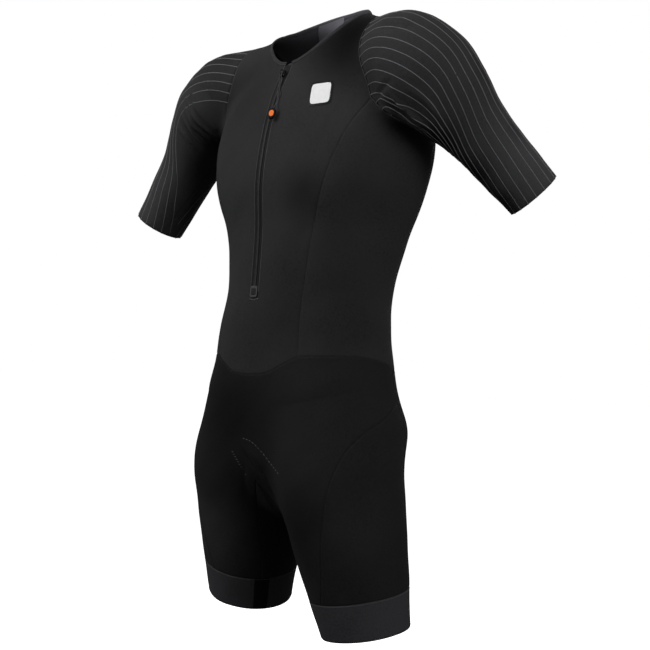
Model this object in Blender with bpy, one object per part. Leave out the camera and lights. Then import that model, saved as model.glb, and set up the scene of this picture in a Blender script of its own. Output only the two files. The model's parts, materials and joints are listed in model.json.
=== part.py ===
"""A triathlon suit, filled out as if worn: short ribbed sleeves, front zip, shorts with grippers.

Units are metres and +Z is up. The front faces -Y and +X is the wearer's left. The origin is on
the middle plane at the height of the shoulders. The cloth follows one smooth form, worked out
from short tables of sections, and every panel is a grid between its seams on that form.
"""
from math import cos, pi, radians, sin

import bmesh
import bpy
import numpy as np
from mathutils import Vector
from mathutils.bvhtree import BVHTree

# ---- cloth
CLOTH = 0.0015            # wall of the body panels
SEAM_GAP = 0.0003         # between neighbouring panels
LAID_ON = 0.0005          # from a panel to what is sewn on it, over the panel's facets
# ---- zip
ZIP_HALF = 0.008          # from the middle to the edge of each front panel
ZIP_TOP, ZIP_END = -0.068, -0.412
SLOT_FOOT = 0.0012        # the slot's foot dips this much at the middle
CHAIN_WIDE, CHAIN_THICK = 0.005, 0.0018
SLIDER_WIDE, SLIDER_LONG, SLIDER_THICK = 0.0085, 0.0115, 0.0030
BRIDGE_RISE, BRIDGE_WIRE = 0.0042, 0.0013
CORD_WIRE, CORD_APART, CORD_LOOP, CORD_TAIL = 0.0012, 0.0036, 0.044, 0.020
SLIDER_DOWN, PULL_ACROSS = 0.0175, 0.0130   # slider's middle from the zip's top, loop's lean
GRIP_WIDE, GRIP_LONG, GRIP_THICK, GRIP_TURN = 0.0120, 0.0180, 0.0040, 25.0     # degrees
DOT_ACROSS, DOT_THICK = 0.0070, 0.0006
STOP_WIDE, STOP_LONG, STOP_THICK = 0.0165, 0.0170, 0.0009
# ---- trim
BINDING_WIDE, BINDING_THICK = 0.0065, 0.0022
GUARD_WIDE, GUARD_LONG, GUARD_RISE, GUARD_THICK = 0.020, 0.030, 0.012, 0.0010
BADGE_WIDE, BADGE_TALL, BADGE_THICK, BADGE_ROUND = 0.042, 0.034, 0.0006, 0.020
BADGE_AT = (0.099, -0.120)            # across and up, on the left of the chest
LABEL_WIDE, LABEL_TALL, LABEL_THICK, LABEL_Z, LABEL_LEAN = 0.046, 0.036, 0.0005, 0.014, 0.22
# ---- legs
GRIP_TOP, HEM = 0.180, 0.235          # along the leg from the hip
STRIP_AT, STRIP_WIDE = -64.0, 19.0    # degrees round the leg, front 0, outer side 90
SEAM_FRONT, SEAM_BACK = -1.0, 113.0
# ---- sleeves
CUFF = 0.278                          # along the arm from the shoulder, before it swings
ARM_SWUNG = {1: (.386, .604, -.697), -1: (-.512, -.120, -.850)}     # left arm back, right forward
SWING_SHORT = {1: .071, -1: .103}     # share of the length that is lost
SWING_REACH = 0.80                    # share of the sleeve that turns


def table(columns, *rows):
    """Rows of numbers as one array for each named column."""
    return {name: np.array([row[i] for row in rows], float)
            for i, name in enumerate(columns.split())}


TORSO = table(
    "z     wide   deep   back  square",   # half width, half depth, middle, exponent
    (-.75, .050, .050, .012, 2.0),
    (-.69, .141, .096, .012, 2.1),
    (-.62, .172, .114, .014, 2.3),
    (-.54, .158, .110, .000, 2.3),
    (-.46, .146, .106, -.005, 2.3),
    (-.40, .134, .110, .002, 2.3),
    (-.32, .148, .116, .009, 2.4),
    (-.24, .184, .121, .009, 2.5),
    (-.17, .197, .116, .012, 2.5),
    (-.11, .181, .102, .013, 2.4),
    (-.06, .132, .079, .011, 2.2),
    (-.02, .100, .062, .002, 2.0),
    (.03, .078, .054, .002, 2.0),
    (.08, .070, .052, .002, 2.0))
ARM = table(
    "along radius",
    (-.02, .048), (.03, .068), (.08, .0635), (.14, .0495), (.20, .045), (.27, .0415), (.36, .037))
LEG = table(
    "along radius",
    (-.10, .0705), (.00, .094), (.08, .088), (.16, .0775), (.24, .0655), (.32, .060))
NECK, NECK_RADIUS = np.array([.044, .030, -.033]), .055
SHOULDER, SHOULDER_RADIUS = np.array([.218, -.015, -.074]), .062
HIP = np.array([.096, -.010, -.660])
ARM_OUT, ARM_BACK, LEG_OUT, LEG_BACK = 45.4, 6.5, 9.5, 10.0    # degrees
BLEND_YOKE, BLEND_ARM, BLEND_LEG, BLEND_SEAT = .040, .043, .030, .060
LEG_FROM, LEG_SLANT, LEG_DROP, SHOULDER_SLANT = -.60, -.068, -.0035, .030

# Seams of the left half. Each row is a point near the form, across, back and up.
SEAMS = {
    "neck_front": ((.0080, -.067, -.0605), (.0225, -.066, -.057), (.0435, -.060, -.046),
                   (.0645, -.050, -.029), (.0795, -.041, -.015), (.0935, -.024, .002),
                   (.0968, -.001, .0142)),
    "neck_back": ((.0968, -.001, .0142), (.0885, .0165, .0205), (.0745, .0295, .0265),
                  (.059, .0395, .0325), (.039, .0485, .0385), (.0195, .0535, .0415),
                  (0, .055, .042)),
    "shoulder": ((.0968, -.001, .0142), (.117, -.003, .004), (.138, -.005, -.002)),
    "arm_front": ((.138, -.005, -.002), (.143, -.030, -.018), (.146, -.046, -.042),
                  (.150, -.056, -.067), (.160, -.060, -.099), (.171, -.057, -.128)),
    "arm_under": ((.171, -.057, -.128), (.190, -.048, -.151), (.209, -.033, -.168),
                  (.217, -.004, -.176), (.209, .032, -.170), (.190, .062, -.150)),
    "arm_back": ((.190, .062, -.150), (.166, .080, -.112), (.150, .072, -.067),
                 (.141, .042, -.026), (.138, -.005, -.002)),
    "princess": ((.171, -.057, -.128), (.151, -.074, -.168), (.140, -.084, -.197),
                 (.125, -.090, -.235), (.106, -.090, -.295), (.091, -.087, -.360),
                 (.088, -.092, -.430), (.091, -.095, -.506)),
    "back_side": ((.190, .062, -.150), (.178, .075, -.200), (.150, .085, -.280),
                  (.122, .078, -.370), (.128, .062, -.450), (.142, .044, -.512)),
    "waist_front": ((0, -.109, -.535), (.040, -.108, -.531), (.066, -.103, -.519),
                    (.091, -.095, -.506)),
    "waist_side": ((.091, -.095, -.506), (.125, -.072, -.504), (.149, -.022, -.502),
                   (.149, .012, -.506), (.142, .044, -.512)),
    "waist_back": ((.142, .044, -.512), (.110, .085, -.522), (.060, .102, -.528),
                   (0, .105, -.530)),
    "side_upper": ((.142, .044, -.512), (.150, .048, -.536), (.158, .050, -.562)),
    "hip": ((.158, .050, -.562), (.174, .003, -.590), (.176, -.033, -.608),
            (.169, -.062, -.634), (.161, -.078, -.666), (.152, -.083, -.700)),
    "leg_front": ((.152, -.083, -.700), (.144, -.078, -.738), (.139, -.074, -.764),
                  (.134, -.064, -.806)),
    "seat_side": ((.158, .050, -.562), (.170, .058, -.615), (.182, .055, -.670),
                  (.187, .048, -.725)),
    "leg_back": ((.187, .048, -.725), (.189, .047, -.765), (.190, .047, -.793)),
    "crotch_front": ((0, -.109, -.535), (0, -.106, -.580), (0, -.098, -.635),
                     (0, -.082, -.690)),
    "crotch_back": ((0, .105, -.530), (0, .122, -.590), (0, .115, -.650), (0, .090, -.705),
                    (0, .050, -.745), (0, .010, -.755)),
    "crotch_under": ((0, .010, -.755), (0, -.045, -.735), (0, -.082, -.690)),
    "under_seat": ((.187, .048, -.725), (.155, .088, -.735), (.110, .100, -.742),
                   (.065, .085, -.750), (.030, .050, -.755), (0, .010, -.755)),
    "inseam": ((0, -.082, -.690), (.020, -.062, -.715), (.032, -.050, -.740),
               (.041, -.040, -.771), (.047, -.026, -.803)),
}
# How many facets each stretch of seam has.
STEPS = {"neck_front": 5, "neck_back": 6, "shoulder": 1, "arm_front": 5, "arm_under": 6,
         "arm_back": 5, "princess": 13, "back_side": 13, "waist_front": 6, "waist_side": 6,
         "waist_back": 7, "side_upper": 2, "hip": 6, "leg_front": 8, "seat_side": 4,
         "leg_back": 4, "crotch_front": 8, "crotch_back": 6, "crotch_under": 3,
         "under_seat": 7, "inseam": 4}
ZIP_ROWS, BELLY_ROWS, SLEEVE_ROWS, GRIPPER_ROWS = 13, 5, 12, 2


# ---- the form

def smooth(t, at, value):
    """A smooth curve through the table's values, at t."""
    t = np.clip(t, at[0], at[-1])
    lean = np.concatenate([[(value[1] - value[0]) / (at[1] - at[0])],
                           (value[2:] - value[:-2]) / (at[2:] - at[:-2]),
                           [(value[-1] - value[-2]) / (at[-1] - at[-2])]])
    k = np.clip(np.searchsorted(at, t) - 1, 0, len(at) - 2)
    h = at[k + 1] - at[k]
    s = (t - at[k]) / h
    return ((1 + 2 * s) * (1 - s) ** 2 * value[k] + s * (1 - s) ** 2 * h * lean[k]
            + s * s * (3 - 2 * s) * value[k + 1] + s * s * (s - 1) * h * lean[k + 1])


def unit(v):
    v = np.asarray(v, float)
    return v / np.maximum(np.linalg.norm(v, axis=-1, keepdims=True), 1e-12)


def blend(a, b, width):
    """The smaller of two distances, with a rounded corner."""
    h = np.maximum(width - np.abs(a - b), 0) / width
    return np.minimum(a, b) - h ** 3 * width / 6


def lean_axis(out, back):
    """A direction down, leaning out and back by these degrees."""
    out, back = radians(out), radians(back)
    return unit([sin(out), cos(out) * sin(back), -cos(out) * cos(back)])


ARM_AXIS = lean_axis(ARM_OUT, ARM_BACK)
LEG_AXIS = lean_axis(LEG_OUT, LEG_BACK)


def tube(p, start, axis, along, radius):
    """How far p is outside a round tube whose radius changes along its axis."""
    q = p - start
    t = q @ axis
    nearest = np.clip(t, along[0], along[-1])
    return np.linalg.norm(q - nearest[..., None] * axis, axis=-1) - smooth(t, along, radius)


def form(p):
    """Below zero inside the form, and about the distance from it in metres."""
    x, y, z = np.abs(p[..., 0]), p[..., 1], p[..., 2]
    own, other = np.stack([x, y, z], -1), np.stack([-x, y, z], -1)
    wide, deep, back, square = (smooth(z, TORSO["z"], TORSO[c])
                                for c in ("wide", "deep", "back", "square"))
    ring = ((x / wide) ** square + (np.abs(y - back) / deep) ** square) ** (1 / square)
    body = -blend((1 - ring) * np.minimum(wide, deep), z - TORSO["z"][0], BLEND_SEAT)
    yoke = SHOULDER - NECK
    length = np.linalg.norm(yoke)
    body = blend(body, tube(own, NECK, yoke / length, np.array([0, length]),
                            np.array([NECK_RADIUS, SHOULDER_RADIUS])), BLEND_YOKE)
    body = blend(body, tube(own, SHOULDER, ARM_AXIS, ARM["along"], ARM["radius"]), BLEND_ARM)
    legs = blend(tube(own, HIP, LEG_AXIS, LEG["along"], LEG["radius"]),
                 tube(other, HIP, LEG_AXIS, LEG["along"], LEG["radius"]), BLEND_LEG)
    return blend(body, legs, BLEND_LEG)


def slope(p, step=1e-4):
    return np.stack([form(p + step * d) - form(p - step * d) for d in np.eye(3)], -1) / (2 * step)


def settle(p, rounds=8):
    """The points moved onto the form, by the shortest way that its slope shows."""
    p = np.array(p, float)
    for _ in range(rounds):
        g = slope(p)
        step = (form(p) / np.maximum((g * g).sum(-1), .05))[..., None] * g
        length = np.linalg.norm(step, axis=-1, keepdims=True)
        p = p - step * np.minimum(1, .03 / np.maximum(length, 1e-9))
    return p


def outward(p):
    return unit(slope(p))


def posed(p):
    """The points where the suit hangs: the left leg a little lower, the left shoulder higher."""
    p = np.array(p, float)
    x, z = p[..., 0], p[..., 2]
    low = np.clip((LEG_FROM - z) / .25, 0, 1)
    high = np.clip((z + .09) / .09, 0, 1) * np.clip((.16 - np.abs(x)) / .07, 0, 1)
    low, high = low * low * (3 - 2 * low), high * high * (3 - 2 * high)
    p[..., 2] += low * (LEG_SLANT * x + LEG_DROP) + high * SHOULDER_SLANT * x
    return p


# ---- seams

def along(line):
    return np.concatenate([[0], np.cumsum(np.linalg.norm(np.diff(line, axis=0), axis=1))])


def even(line, steps):
    """The line again, with points an equal way apart."""
    s = along(line)
    t = np.linspace(0, s[-1], steps + 1)
    return np.stack([np.interp(t, s, line[:, k]) for k in range(3)], 1)


def seam(points, steps):
    """A smooth line on the form through the points."""
    p = settle(points)
    s = along(p)
    t = np.concatenate([np.linspace(a, b, 12, endpoint=False) for a, b in zip(s, s[1:])]
                       + [[s[-1]]])
    line = np.stack([smooth(t, s, p[:, k]) for k in range(3)], 1)
    return settle(even(settle(line), steps), 4)


def leg_ring(where, degrees):
    """Points round the leg at a place along it: front 0, outer side 90."""
    a = np.radians(degrees)[..., None]
    out = unit(np.array([1, 0, 0]) - LEG_AXIS[0] * LEG_AXIS)
    front = np.cross(LEG_AXIS, out)
    front = front if front[1] < 0 else -front
    radius = smooth(np.array([where]), LEG["along"], LEG["radius"])
    return HIP + where * LEG_AXIS + radius * (np.sin(a) * out + np.cos(a) * front)


def leg_seams():
    """The gripper's top edge in its three stretches, and the seams that end on it."""
    turns = {"grip_inner": (STRIP_AT, SEAM_FRONT, STEPS["waist_front"] + STEPS["waist_side"]),
             "grip_outer": (SEAM_FRONT, SEAM_BACK, STEPS["hip"]),
             "grip_back": (SEAM_BACK, STRIP_AT + 360, STEPS["under_seat"] + STEPS["crotch_under"])}
    lines = {name: leg_ring(GRIP_TOP, np.linspace(a, b, n + 1))
             for name, (a, b, n) in turns.items()}
    ends = {"leg_front": lines["grip_outer"][0], "leg_back": lines["grip_outer"][-1],
            "inseam": lines["grip_inner"][0]}
    return lines, ends


def make_seams():
    lines, ends = leg_seams()
    for name, points in SEAMS.items():
        points = list(points) + ([ends[name]] if name in ends else [])
        lines[name] = seam(points, STEPS[name])
        if name in ends:
            lines[name][-1] = ends[name]
    z = np.linspace(ZIP_TOP, ZIP_END, ZIP_ROWS + 1)
    edge = np.stack([np.full_like(z, ZIP_HALF), np.full_like(z, -.1), z], 1)
    edge = put_in_front(edge)
    edge[0] = lines["neck_front"][0]
    z = np.linspace(ZIP_END - SLOT_FOOT, lines["waist_front"][0][2], BELLY_ROWS)
    belly = put_in_front(np.stack([0 * z, 0 * z - .1, z], 1))
    belly[-1] = lines["waist_front"][0]
    lines["zip_edge"], lines["belly"] = edge, belly
    return lines


def put_in_front(points):
    """The points moved straight back or forward onto the front of the form."""
    p = np.array(points, float)
    for _ in range(12):
        g = slope(p)[..., 1]
        p[..., 1] -= form(p) / np.where(np.abs(g) < .2, -.2, g)
    return p


def halved(line):
    """The line with a point halfway along each of its straight steps."""
    out = np.repeat(line, 2, axis=0)[:-1]
    out[1::2] = (line[:-1] + line[1:]) / 2
    return out


def joined(*lines):
    return np.concatenate([lines[0]] + [line[1:] for line in lines[1:]])


# ---- panels

def between(top, bottom, left, right, ease=0):
    """A grid on the form between four lines; its rows run from the top to the bottom."""
    u = np.linspace(0, 1, len(top))[None, :, None]
    v = np.linspace(0, 1, len(left))[:, None, None]
    grid = (1 - v) * top[None] + v * bottom[None] + (1 - u) * left[:, None] + u * right[:, None]
    grid -= ((1 - u) * (1 - v) * top[0] + u * (1 - v) * top[-1]
             + (1 - u) * v * bottom[0] + u * v * bottom[-1])
    grid[1:-1, 1:-1] = settle(grid[1:-1, 1:-1])
    for _ in range(ease):
        mean = grid[:-2, 1:-1] + grid[2:, 1:-1] + grid[1:-1, :-2] + grid[1:-1, 2:]
        grid[1:-1, 1:-1] = settle(mean / 4, 2)
    return grid


def mirrored(grid):
    return grid[..., ::-1, :] * np.array([-1, 1, 1])


class Sheet:
    """Points and faces of a panel's middle surface, with faces seen from outside."""

    def __init__(self):
        self.points, self.faces, self.found = [], [], {}

    def vertex(self, p):
        key = tuple(np.round(np.asarray(p) * 1e6).astype(int))
        if key not in self.found:
            self.found[key] = len(self.points)
            self.points.append(np.array(p, float))
        return self.found[key]

    def add(self, grid):
        """The grid's cells, turned so that they all face away from the form."""
        a, b, c = grid[1:, :-1], grid[:-1, :-1], grid[:-1, 1:]
        facing = (np.cross(a - b, c - b) * outward(b)).sum()
        grid = grid if facing > 0 else grid[:, ::-1]
        rows, columns = grid.shape[:2]
        for i in range(rows - 1):
            for j in range(columns - 1):
                corners = [self.vertex(grid[a, b]) for a, b in
                           ((i, j), (i + 1, j), (i + 1, j + 1), (i, j + 1))]
                face = [c for n, c in enumerate(corners) if c != corners[n - 1]]
                if len(face) > 2:
                    self.faces.append(face)
        return self


def edges_of(faces):
    """Directed edges that only one face uses."""
    uses = {(f[i], f[(i + 1) % len(f)]) for f in faces for i in range(len(f))}
    return [(a, b) for a, b in uses if (b, a) not in uses]


def inset(points, normals, faces, amount):
    """The points with the sheet's edge drawn in by the amount."""
    rim = sorted(edges_of(faces))
    into = {}
    for a, b in rim:
        inward = unit(np.cross((normals[a] + normals[b]) / 2, points[b] - points[a]))
        for v in (a, b):
            into.setdefault(v, []).append(inward)
    moved = points.copy()
    for v, ways in into.items():
        mean = sum(ways) / len(ways)
        moved[v] += mean * amount / max(float(mean @ mean), .35)
    return moved


def walls(sheet, inner, outer, gap=SEAM_GAP):
    """A closed solid between two offsets from the sheet: its points and faces."""
    points, faces = np.array(sheet.points), sheet.faces
    normals = outward(points)
    drawn = inset(points, normals, faces, gap / 2)
    n = len(points)
    solid = np.concatenate([drawn + outer * normals, drawn + inner * normals])
    shell = [list(f) for f in faces] + [[v + n for v in f[::-1]] for f in faces]
    shell += [[b, a, a + n, b + n] for a, b in sorted(edges_of(faces))]
    return solid, shell


# ---- materials and objects

MATERIALS = {   # colour sRGB 0-255, roughness, metallic
    "body_knit": ((43, 43, 44), .75, 0), "shorts_knit": ((27, 27, 28), .70, 0),
    "sleeve_rib": ((52, 52, 54), .70, 0), "gripper_band": ((58, 58, 60), .80, 0),
    "black_band": ((14, 14, 15), .80, 0), "zip_tape": ((24, 24, 25), .85, 0),
    "zip_teeth": ((18, 18, 19), .40, 0), "slider_black": ((20, 20, 21), .35, .8),
    "moulded_black": ((22, 22, 23), .50, 0), "orange_rubber": ((222, 110, 38), .60, 0),
    "patch_white": ((226, 226, 226), .60, 0), "label_grey": ((84, 84, 86), .80, 0),
}


PLAIN = {}      # each object's points before they are posed


def linear(value):
    value /= 255
    return value / 12.92 if value <= .04045 else ((value + .055) / 1.055) ** 2.4


def material(name):
    found = bpy.data.materials.get(name)
    if found:
        return found
    colour, roughness, metallic = MATERIALS[name]
    made = bpy.data.materials.new(name)
    made.use_nodes = True
    shader = made.node_tree.nodes["Principled BSDF"]
    shader.inputs["Base Color"].default_value = (*(linear(c) for c in colour), 1)
    shader.inputs["Roughness"].default_value = roughness
    shader.inputs["Metallic"].default_value = metallic
    return made


def add_object(name, points, faces, look):
    PLAIN[name] = points
    mesh = bpy.data.meshes.new(name)
    mesh.from_pydata([tuple(p) for p in posed(points)], [], [list(f) for f in faces])
    mesh.validate()
    bm = bmesh.new()
    bm.from_mesh(mesh)
    bmesh.ops.recalc_face_normals(bm, faces=bm.faces)
    bmesh.ops.triangulate(bm, faces=bm.faces)
    bm.to_mesh(mesh)
    bm.free()
    made = bpy.data.objects.new(name, mesh)
    made.data.materials.append(material(look))
    PARTS.objects.link(made)
    return made


def add_panel(name, grids, look, wall=CLOTH, lift=0.0):
    sheet = Sheet()
    for grid in grids:
        sheet.add(grid)
    points, faces = walls(sheet, lift - wall / 2, lift + wall / 2)
    return add_object(name, points, faces, look)


def add_pair(name, grid, look, wall=CLOTH):
    """The left piece and its mirror image."""
    sheet = Sheet().add(grid)
    points, faces = walls(sheet, -wall / 2, wall / 2)
    faces = [cut for f in faces for cut in halves(points, f)]
    add_object(f"{name}_left", points, faces, look)
    add_object(f"{name}_right", points * np.array([-1, 1, 1]), faces, look)


def halves(points, face):
    """The face cut along its shorter diagonal."""
    if len(face) == 3:
        return [face]
    a, b, c, d = face
    if np.linalg.norm(points[a] - points[c]) < np.linalg.norm(points[b] - points[d]):
        return [[a, b, c], [a, c, d]]
    return [[a, b, d], [b, c, d]]


# ---- the suit's panels

def body_panels(line):
    side = joined(line["princess"][::-1], line["arm_front"][::-1])[::-1]
    middle = np.concatenate([line["zip_edge"], line["belly"]])
    front = between(joined(line["neck_front"], line["shoulder"]), line["waist_front"],
                    middle, side)
    add_panel("front", [front, mirrored(front)], "body_knit")
    under = between(line["arm_under"], line["waist_side"], line["princess"], line["back_side"])
    add_pair("side", under, "body_knit")
    back = between(joined(line["neck_back"][::-1], line["shoulder"]), line["waist_back"][::-1],
                   middle_back(line), joined(line["arm_back"][::-1], line["back_side"]))
    add_panel("back", [back, mirrored(back)], "body_knit")


def middle_back(line):
    """The middle line of the back, from the neck to the waist."""
    top, foot = line["neck_back"][-1], line["waist_back"][-1]
    points = [top, (0, .075, -.005), (0, .098, -.060), (0, .120, -.150), (0, .128, -.260),
              (0, .110, -.400), foot]
    return seam(points, STEPS["arm_back"] + STEPS["back_side"])


def sleeves(line):
    """Rings from the armhole to the cuff, each cast outward from its own middle."""
    hole = joined(line["arm_front"], line["arm_under"], line["arm_back"])
    up = unit(np.array([0, 0, 1]) - ARM_AXIS[2] * ARM_AXIS)
    front = np.cross(up, ARM_AXIS)
    front = front if front[1] < 0 else -front
    s = along(hole)
    angle = 2 * pi * s / s[-1]
    start, end = hole[:-1].mean(axis=0), SHOULDER + CUFF * ARM_AXIS
    first = hole - start
    last = np.cos(angle)[:, None] * up + np.sin(angle)[:, None] * front
    v = (np.linspace(0, 1, SLEEVE_ROWS + 1) ** 1.15)[:, None, None]
    middle = np.broadcast_to((1 - v) * start + v * end, (len(v), len(hole), 3))
    ways = unit((1 - v) * unit(first) + v * last)
    grid = cast(middle, ways)
    grid[0] = hole
    grid[:, -1] = grid[:, 0]
    sheet = Sheet().add(grid)
    share = np.zeros(len(sheet.points))
    for row, ring in enumerate(grid):
        share[[sheet.vertex(p) for p in ring]] = row / SLEEVE_ROWS
    points, faces = walls(sheet, -CLOTH / 2, CLOTH / 2)
    faces = [cut for f in faces for cut in halves(points, f)]
    share = np.concatenate([share, share])
    add_object("sleeve_left", swung(points, share, 1), faces, "sleeve_rib")
    add_object("sleeve_right", swung(points * np.array([-1, 1, 1]), share, -1), faces,
               "sleeve_rib")


def swung(points, share, side):
    """Points of a sleeve turned about the shoulder, by their share of the way to the cuff."""
    own, middle = ARM_AXIS * np.array([side, 1, 1]), SHOULDER * np.array([side, 1, 1])
    turn = np.clip(share / SWING_REACH, 0, 1)
    turn = (turn * turn * (3 - 2 * turn))[..., None]
    q = points - middle
    q = q - SWING_SHORT[side] * turn * np.maximum(q @ own, 0)[..., None] * own
    way = unit(ARM_SWUNG[side])
    pin, angle = unit(np.cross(own, way)), np.arccos(own @ way) * turn
    return middle + (q * np.cos(angle) + np.cross(pin, q) * np.sin(angle)
                     + (q @ pin)[..., None] * pin * (1 - np.cos(angle)))


def cast(start, way, far=.16, steps=40):
    """Where straight lines from inside the form first leave it."""
    length = np.full(start.shape[:-1], far)
    for k in range(steps, 0, -1):
        out = form(start + way * (far * k / steps)) > 0
        length = np.where(out, far * k / steps, length)
    low, high = length - far / steps, length
    for _ in range(14):
        half = (low + high) / 2
        out = form(start + way * half[..., None]) > 0
        low, high = np.where(out, low, half), np.where(out, half, high)
    return start + way * ((low + high) / 2)[..., None]


def shorts(line):
    waist = joined(line["waist_front"], line["waist_side"])
    front = between(waist, line["grip_inner"],
                    joined(line["crotch_front"], halved(line["inseam"])),
                    joined(line["side_upper"], line["hip"], line["leg_front"]))
    add_panel("shorts_front", [front, mirrored(front)], "shorts_knit")
    seat = between(line["waist_back"], line["under_seat"],
                   joined(line["side_upper"], line["seat_side"]), line["crotch_back"], 30)
    under = between(joined(line["under_seat"], line["crotch_under"]), line["grip_back"],
                    line["leg_back"], line["inseam"], 30)
    add_panel("shorts_back", [seat, under, mirrored(seat), mirrored(under)], "shorts_knit")
    thigh = between(line["hip"][::-1], line["grip_outer"], line["leg_front"],
                    joined(line["seat_side"], line["leg_back"]))
    add_pair("thigh", thigh, "shorts_knit")


def grippers(line):
    """A band round each leg, with a dark strip let in on the inner side."""
    turns = [np.linspace(a, b, n + 1) for a, b, n in (
        (STRIP_AT, SEAM_FRONT, STEPS["waist_front"] + STEPS["waist_side"]),
        (SEAM_FRONT, SEAM_BACK, STEPS["hip"]),
        (SEAM_BACK, STRIP_AT + 360, STEPS["under_seat"] + STEPS["crotch_under"]))]
    degrees = np.unique(np.concatenate(turns))
    half = STRIP_WIDE / 2
    band = [STRIP_AT + half] + [d for d in degrees
                                if STRIP_AT + half + 1 < d < STRIP_AT + 359 - half]
    band.append(STRIP_AT + 360 - half)
    strip = [STRIP_AT - half, STRIP_AT] + [d for d in degrees
                                           if STRIP_AT < d < STRIP_AT + half - 1]
    strip.append(STRIP_AT + half)
    for name, turn, look in (("gripper", band, "gripper_band"),
                             ("gripper_strip", strip, "black_band")):
        top = on_polygon(GRIP_TOP, np.array(turn), degrees)
        rows = [top] + [on_polygon(w, np.array(turn), degrees) for w in
                        np.linspace(GRIP_TOP, HEM, GRIPPER_ROWS + 1)[1:]]
        add_pair(name, np.array(rows), look)


def on_polygon(where, turn, corners):
    """Points of the faceted ring whose corners are at those degrees."""
    ring = leg_ring(where, corners)
    turn = np.where(turn < corners[0], turn + 360, turn)
    return np.stack([np.interp(turn, corners, ring[:, k]) for k in range(3)], 1)


# ---- zip and trim

def strip_between(left, right):
    return np.stack([left, right], 1)


def zip_parts(line):
    edge = line["zip_edge"]
    middle = edge * np.array([0, 1, 1])
    tape = strip_between(middle, edge)
    add_pair("zip_tape", tape, "zip_tape", wall=.0010)
    top = middle[0] + (middle[1] - middle[0]) * (SLIDER_DOWN - .004) / along(middle)[1]
    foot = middle[-1] + (middle[-2] - middle[-1]) * .35
    middle = np.concatenate([[top], middle[1:-1], [foot]])
    chain = strip_between(middle - [CHAIN_WIDE / 2, 0, 0], middle + [CHAIN_WIDE / 2, 0, 0])
    low = .0005 + SEAM_GAP
    add_panel("zip_chain", [chain], "zip_teeth", wall=CHAIN_THICK, lift=low + CHAIN_THICK / 2)


def binding(line):
    """A bound edge that stands on the neckline, from one zip edge round to the other."""
    half = joined(line["neck_front"], line["neck_back"])
    rim = []
    for p, q in zip(half, np.gradient(half, axis=0)):
        rim.append(unit(np.cross(unit(q), outward(p[None])[0])))
    rim = np.array(rim)
    rim *= np.sign((rim * (np.array([0, 0, .2]) - half)).sum(1))[:, None]
    rim[-1, 0] = 0
    upper = settle(half + unit(rim) * BINDING_WIDE, 3)
    upper[-1, 0] = 0
    grid = strip_between(half, upper)
    add_panel("collar_binding", [grid, grid * np.array([-1, 1, 1])], "zip_tape",
              wall=BINDING_THICK)


def surface(names):
    """The triangles of finished parts before they are posed, for laying other pieces on."""
    points, faces = [], []
    for name in names:
        base = len(points)
        points += [Vector(p) for p in PLAIN[name]]
        faces += [[v + base for v in p.vertices] for p in bpy.data.objects[name].data.polygons]
    return BVHTree.FromPolygons(points, faces)


def laid(tree, starts, way, clearance):
    """Where rays from the starts meet the surface, moved back by the clearance."""
    hits = []
    for start in starts.reshape(-1, 3):
        place = tree.ray_cast(Vector(start), Vector(way))[0]
        hits.append(np.array(place) - np.array(way) * clearance)
    return np.array(hits).reshape(starts.shape)


def plate(name, grid, way, thickness, look):
    """A thin closed piece: the grid, and the grid moved along the way."""
    rows, columns = grid.shape[:2]
    n = rows * columns
    flat = grid.reshape(-1, 3)
    points = np.concatenate([flat, flat + np.array(way) * thickness])
    at = lambda i, j: i * columns + j
    faces = [[at(i, j), at(i, j + 1), at(i + 1, j + 1), at(i + 1, j)]
             for i in range(rows - 1) for j in range(columns - 1)]
    loop = ([at(0, j) for j in range(columns)] + [at(i, columns - 1) for i in range(1, rows)]
            + [at(rows - 1, j) for j in range(columns - 2, -1, -1)]
            + [at(i, 0) for i in range(rows - 2, 0, -1)])
    rim = [[a, b, b + n, a + n] for a, b in zip(loop, loop[1:] + loop[:1])]
    return add_object(name, points, faces + [[v + n for v in f[::-1]] for f in faces] + rim,
                      look)


def badge():
    """A plain rounded patch on the left of the chest."""
    steps = 7
    u = np.linspace(-1, 1, steps)
    across, up = np.meshgrid(u, u[::-1])
    square = .5 + .5 * BADGE_ROUND / BADGE_WIDE
    pull = 1 - (1 - square) * .55 * (across * up) ** 2
    x = BADGE_AT[0] + across * pull * BADGE_WIDE / 2
    z = BADGE_AT[1] + up * pull * BADGE_TALL / 2
    way = np.array([-.55, .80, .10])
    way = way / np.linalg.norm(way)
    starts = np.stack([x, np.full_like(x, -.09), z], -1) - way * .05
    grid = laid(surface(["front"]), starts, way, LAID_ON)
    plate("chest_badge", grid, -way, BADGE_THICK, "patch_white")


def label():
    """A woven label inside the neck, a little to the right of the middle of the back."""
    x = np.linspace(-.5, .5, 12) * LABEL_WIDE
    z = LABEL_Z + np.linspace(.5, -.5, 11) * LABEL_TALL
    across, up = np.meshgrid(x, z)
    way = np.array([-.60, .80, 0])
    starts = across[..., None] * np.array([.80, .60, LABEL_LEAN]) + up[..., None] * [0, 0, 1]
    grid = laid(surface(["back"]), starts, way, 0)
    into = -outward(grid)
    plate("neck_label", grid + 1.7 * LAID_ON * into, into.reshape(-1, 3), LABEL_THICK, "label_grey")


def zip_stop():
    """A patch over the zip's end."""
    x = np.linspace(-.5, .5, 4) * STOP_WIDE
    z = ZIP_END + .009 - np.linspace(0, 1, 4) * STOP_LONG
    across, up = np.meshgrid(x, z)
    starts = np.stack([across, 0 * across - .2, up], -1)
    tree = surface(["front", "zip_tape_left", "zip_tape_right"])
    grid = laid(tree, starts, (0, 1, 0), 0)
    grid[..., 1] = grid[..., 1].min(axis=1, keepdims=True) - LAID_ON
    plate("zip_stop", grid, (0, -1, 0), STOP_THICK, "moulded_black")


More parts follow.
